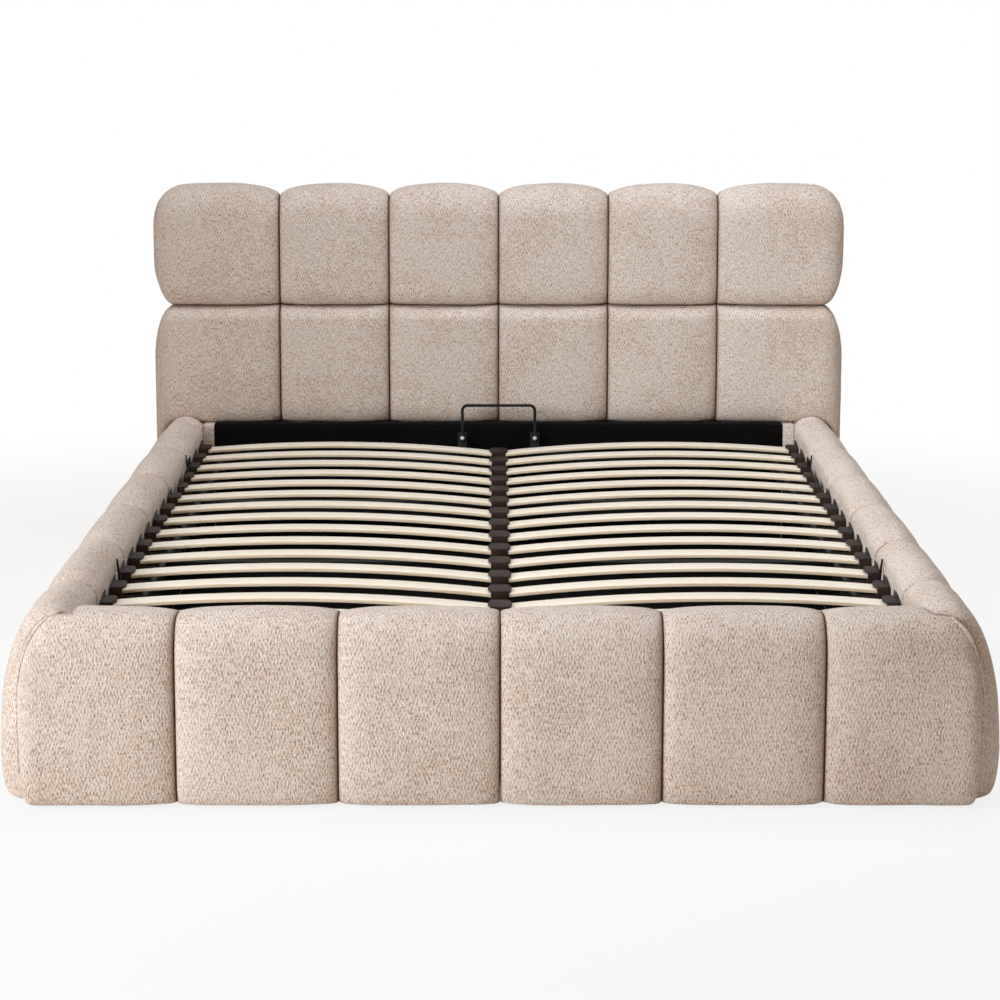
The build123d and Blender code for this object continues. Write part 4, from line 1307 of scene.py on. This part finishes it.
class BED_OT_stage(bpy.types.Operator):
    """Build the pale floor, the soft studio light and the camera"""

    bl_idname = "bed.stage"
    bl_label = "Stage"

    def execute(self, context):
        look = context.scene.bed_stage
        bm = bmesh.new()
        bmesh.ops.create_grid(bm, x_segments=2, y_segments=2, size=60.0)
        new_mesh("pale_floor", bm, FLOOR_PAINT)
        self.world(look)
        self.lamps(look)
        self.camera()
        context.scene.view_settings.view_transform = "Standard"
        return {"FINISHED"}

    def world(self, look):
        """A faint warm light from all round, which the camera sees as white."""
        world = bpy.data.worlds.new("White studio")
        bpy.context.scene.world = world
        world.use_nodes = True
        tree = world.node_tree
        tree.nodes.clear()
        white = add_node(tree, "ShaderNodeBackground", {"Color": grey(1.0), "Strength": 1.0})
        light = add_node(tree, "ShaderNodeBackground", {
            "Color": hex_colour("#FFDDBC"), "Strength": look.world_level,
        })
        mixed = add_node(tree, "ShaderNodeMixShader", {0: seen(tree), 1: light, 2: white})
        add_node(tree, "ShaderNodeOutputWorld", {"Surface": mixed})

    def lamps(self, look):
        """Softboxes, each with its place, aim, size, share of the power, spread and tint."""
        for name, place, aim, size, share, spread, tint in (
            ("key_softbox", (-3.3, -3.0, 1.7), (-0.3, -1.2, 0.3), 1.3, 0.322, 90, "#F8FBFF"),
            ("headboard_softbox", (-1.6, -3.0, 2.2), (1.25, 1.05, 0.75), 0.9, 0.068, 54, "#F0F8FF"),
            ("top_softbox", (0.7, 0.2, 4.2), (0.2, 0.1, 0.3), 2.0, 0.88, 180, "#E9F3FF"),
        ):
            lamp = bpy.data.lights.new(name, "AREA")
            lamp.shape = "SQUARE"
            lamp.size = size
            lamp.energy = look.key_power * share
            lamp.spread = math.radians(spread)
            lamp.color = hex_colour(tint)[:3]
            piece = in_scene(name, lamp)
            piece.location = place
            aimed = Vector(aim) - Vector(place)
            piece.rotation_euler = aimed.to_track_quat("-Z", "Y").to_euler()

    def camera(self):
        """A long lens 5.8 m out and 1.54 m up, looking down 9.3 degrees, as fitted to the photo."""
        focal_pixels, picture_pixels, sensor = 2520.4, 1000.0, 36.0
        lens = bpy.data.cameras.new("photo_camera")
        lens.sensor_width = sensor
        lens.lens = focal_pixels * sensor / picture_pixels
        lens.shift_y = -0.1
        lens.clip_end = 300.0
        camera = in_scene("photo_camera", lens)
        camera.location = (-0.0108, -5.7798, 1.5405)
        turn = (
            Matrix.Rotation(math.radians(-0.123), 3, "Z")
            @ Matrix.Rotation(math.radians(90 - 9.259), 3, "X")
            @ Matrix.Rotation(math.radians(0.044), 3, "Z")
        )
        camera.rotation_euler = turn.to_euler()
        bpy.context.scene.camera = camera


class BED_PT_sidebar(bpy.types.Panel):
    """Lists the bed's groups of pieces"""

    bl_idname = "BED_PT_sidebar"
    bl_label = "Ottoman Bed"
    bl_space_type = "VIEW_3D"
    bl_region_type = "UI"
    bl_category = "Ottoman Bed"

    def draw(self, context):
        for operator in OPERATORS:
            self.layout.operator(operator.bl_idname)
        for settings in SETTINGS:
            group = getattr(context.scene, settings)
            box = self.layout.box()
            for name in group.bl_rna.properties.keys():
                if name not in ("name", "rna_type"):
                    box.prop(group, name)


SETTINGS = {
    "bed_upholstery": UpholsterySettings,
    "bed_timber": TimberSettings,
    "bed_metal": MetalSettings,
    "bed_stage": StageSettings,
}
OPERATORS = (
    BED_OT_stage,
    BED_OT_headboard_pads,
    BED_OT_footboard_pads,
    BED_OT_side_rail_pads,
    BED_OT_linings,
    BED_OT_boards,
    BED_OT_slats,
    BED_OT_slat_holders,
    BED_OT_platform_frame,
    BED_OT_mattress_retainer,
    BED_OT_lift_mechanism,
)


def register():
    for cls in (*SETTINGS.values(), *OPERATORS, BED_PT_sidebar):
        bpy.utils.register_class(cls)
    for name, cls in SETTINGS.items():
        setattr(bpy.types.Scene, name, bpy.props.PointerProperty(type=cls))


def unregister():
    for name in SETTINGS:
        delattr(bpy.types.Scene, name)
    for cls in reversed((*SETTINGS.values(), *OPERATORS, BED_PT_sidebar)):
        bpy.utils.unregister_class(cls)


def main():
    register()
    for operator in OPERATORS:
        group, name = operator.bl_idname.split(".")
        getattr(getattr(bpy.ops, group), name)()


if __name__ == "__main__":
    main()
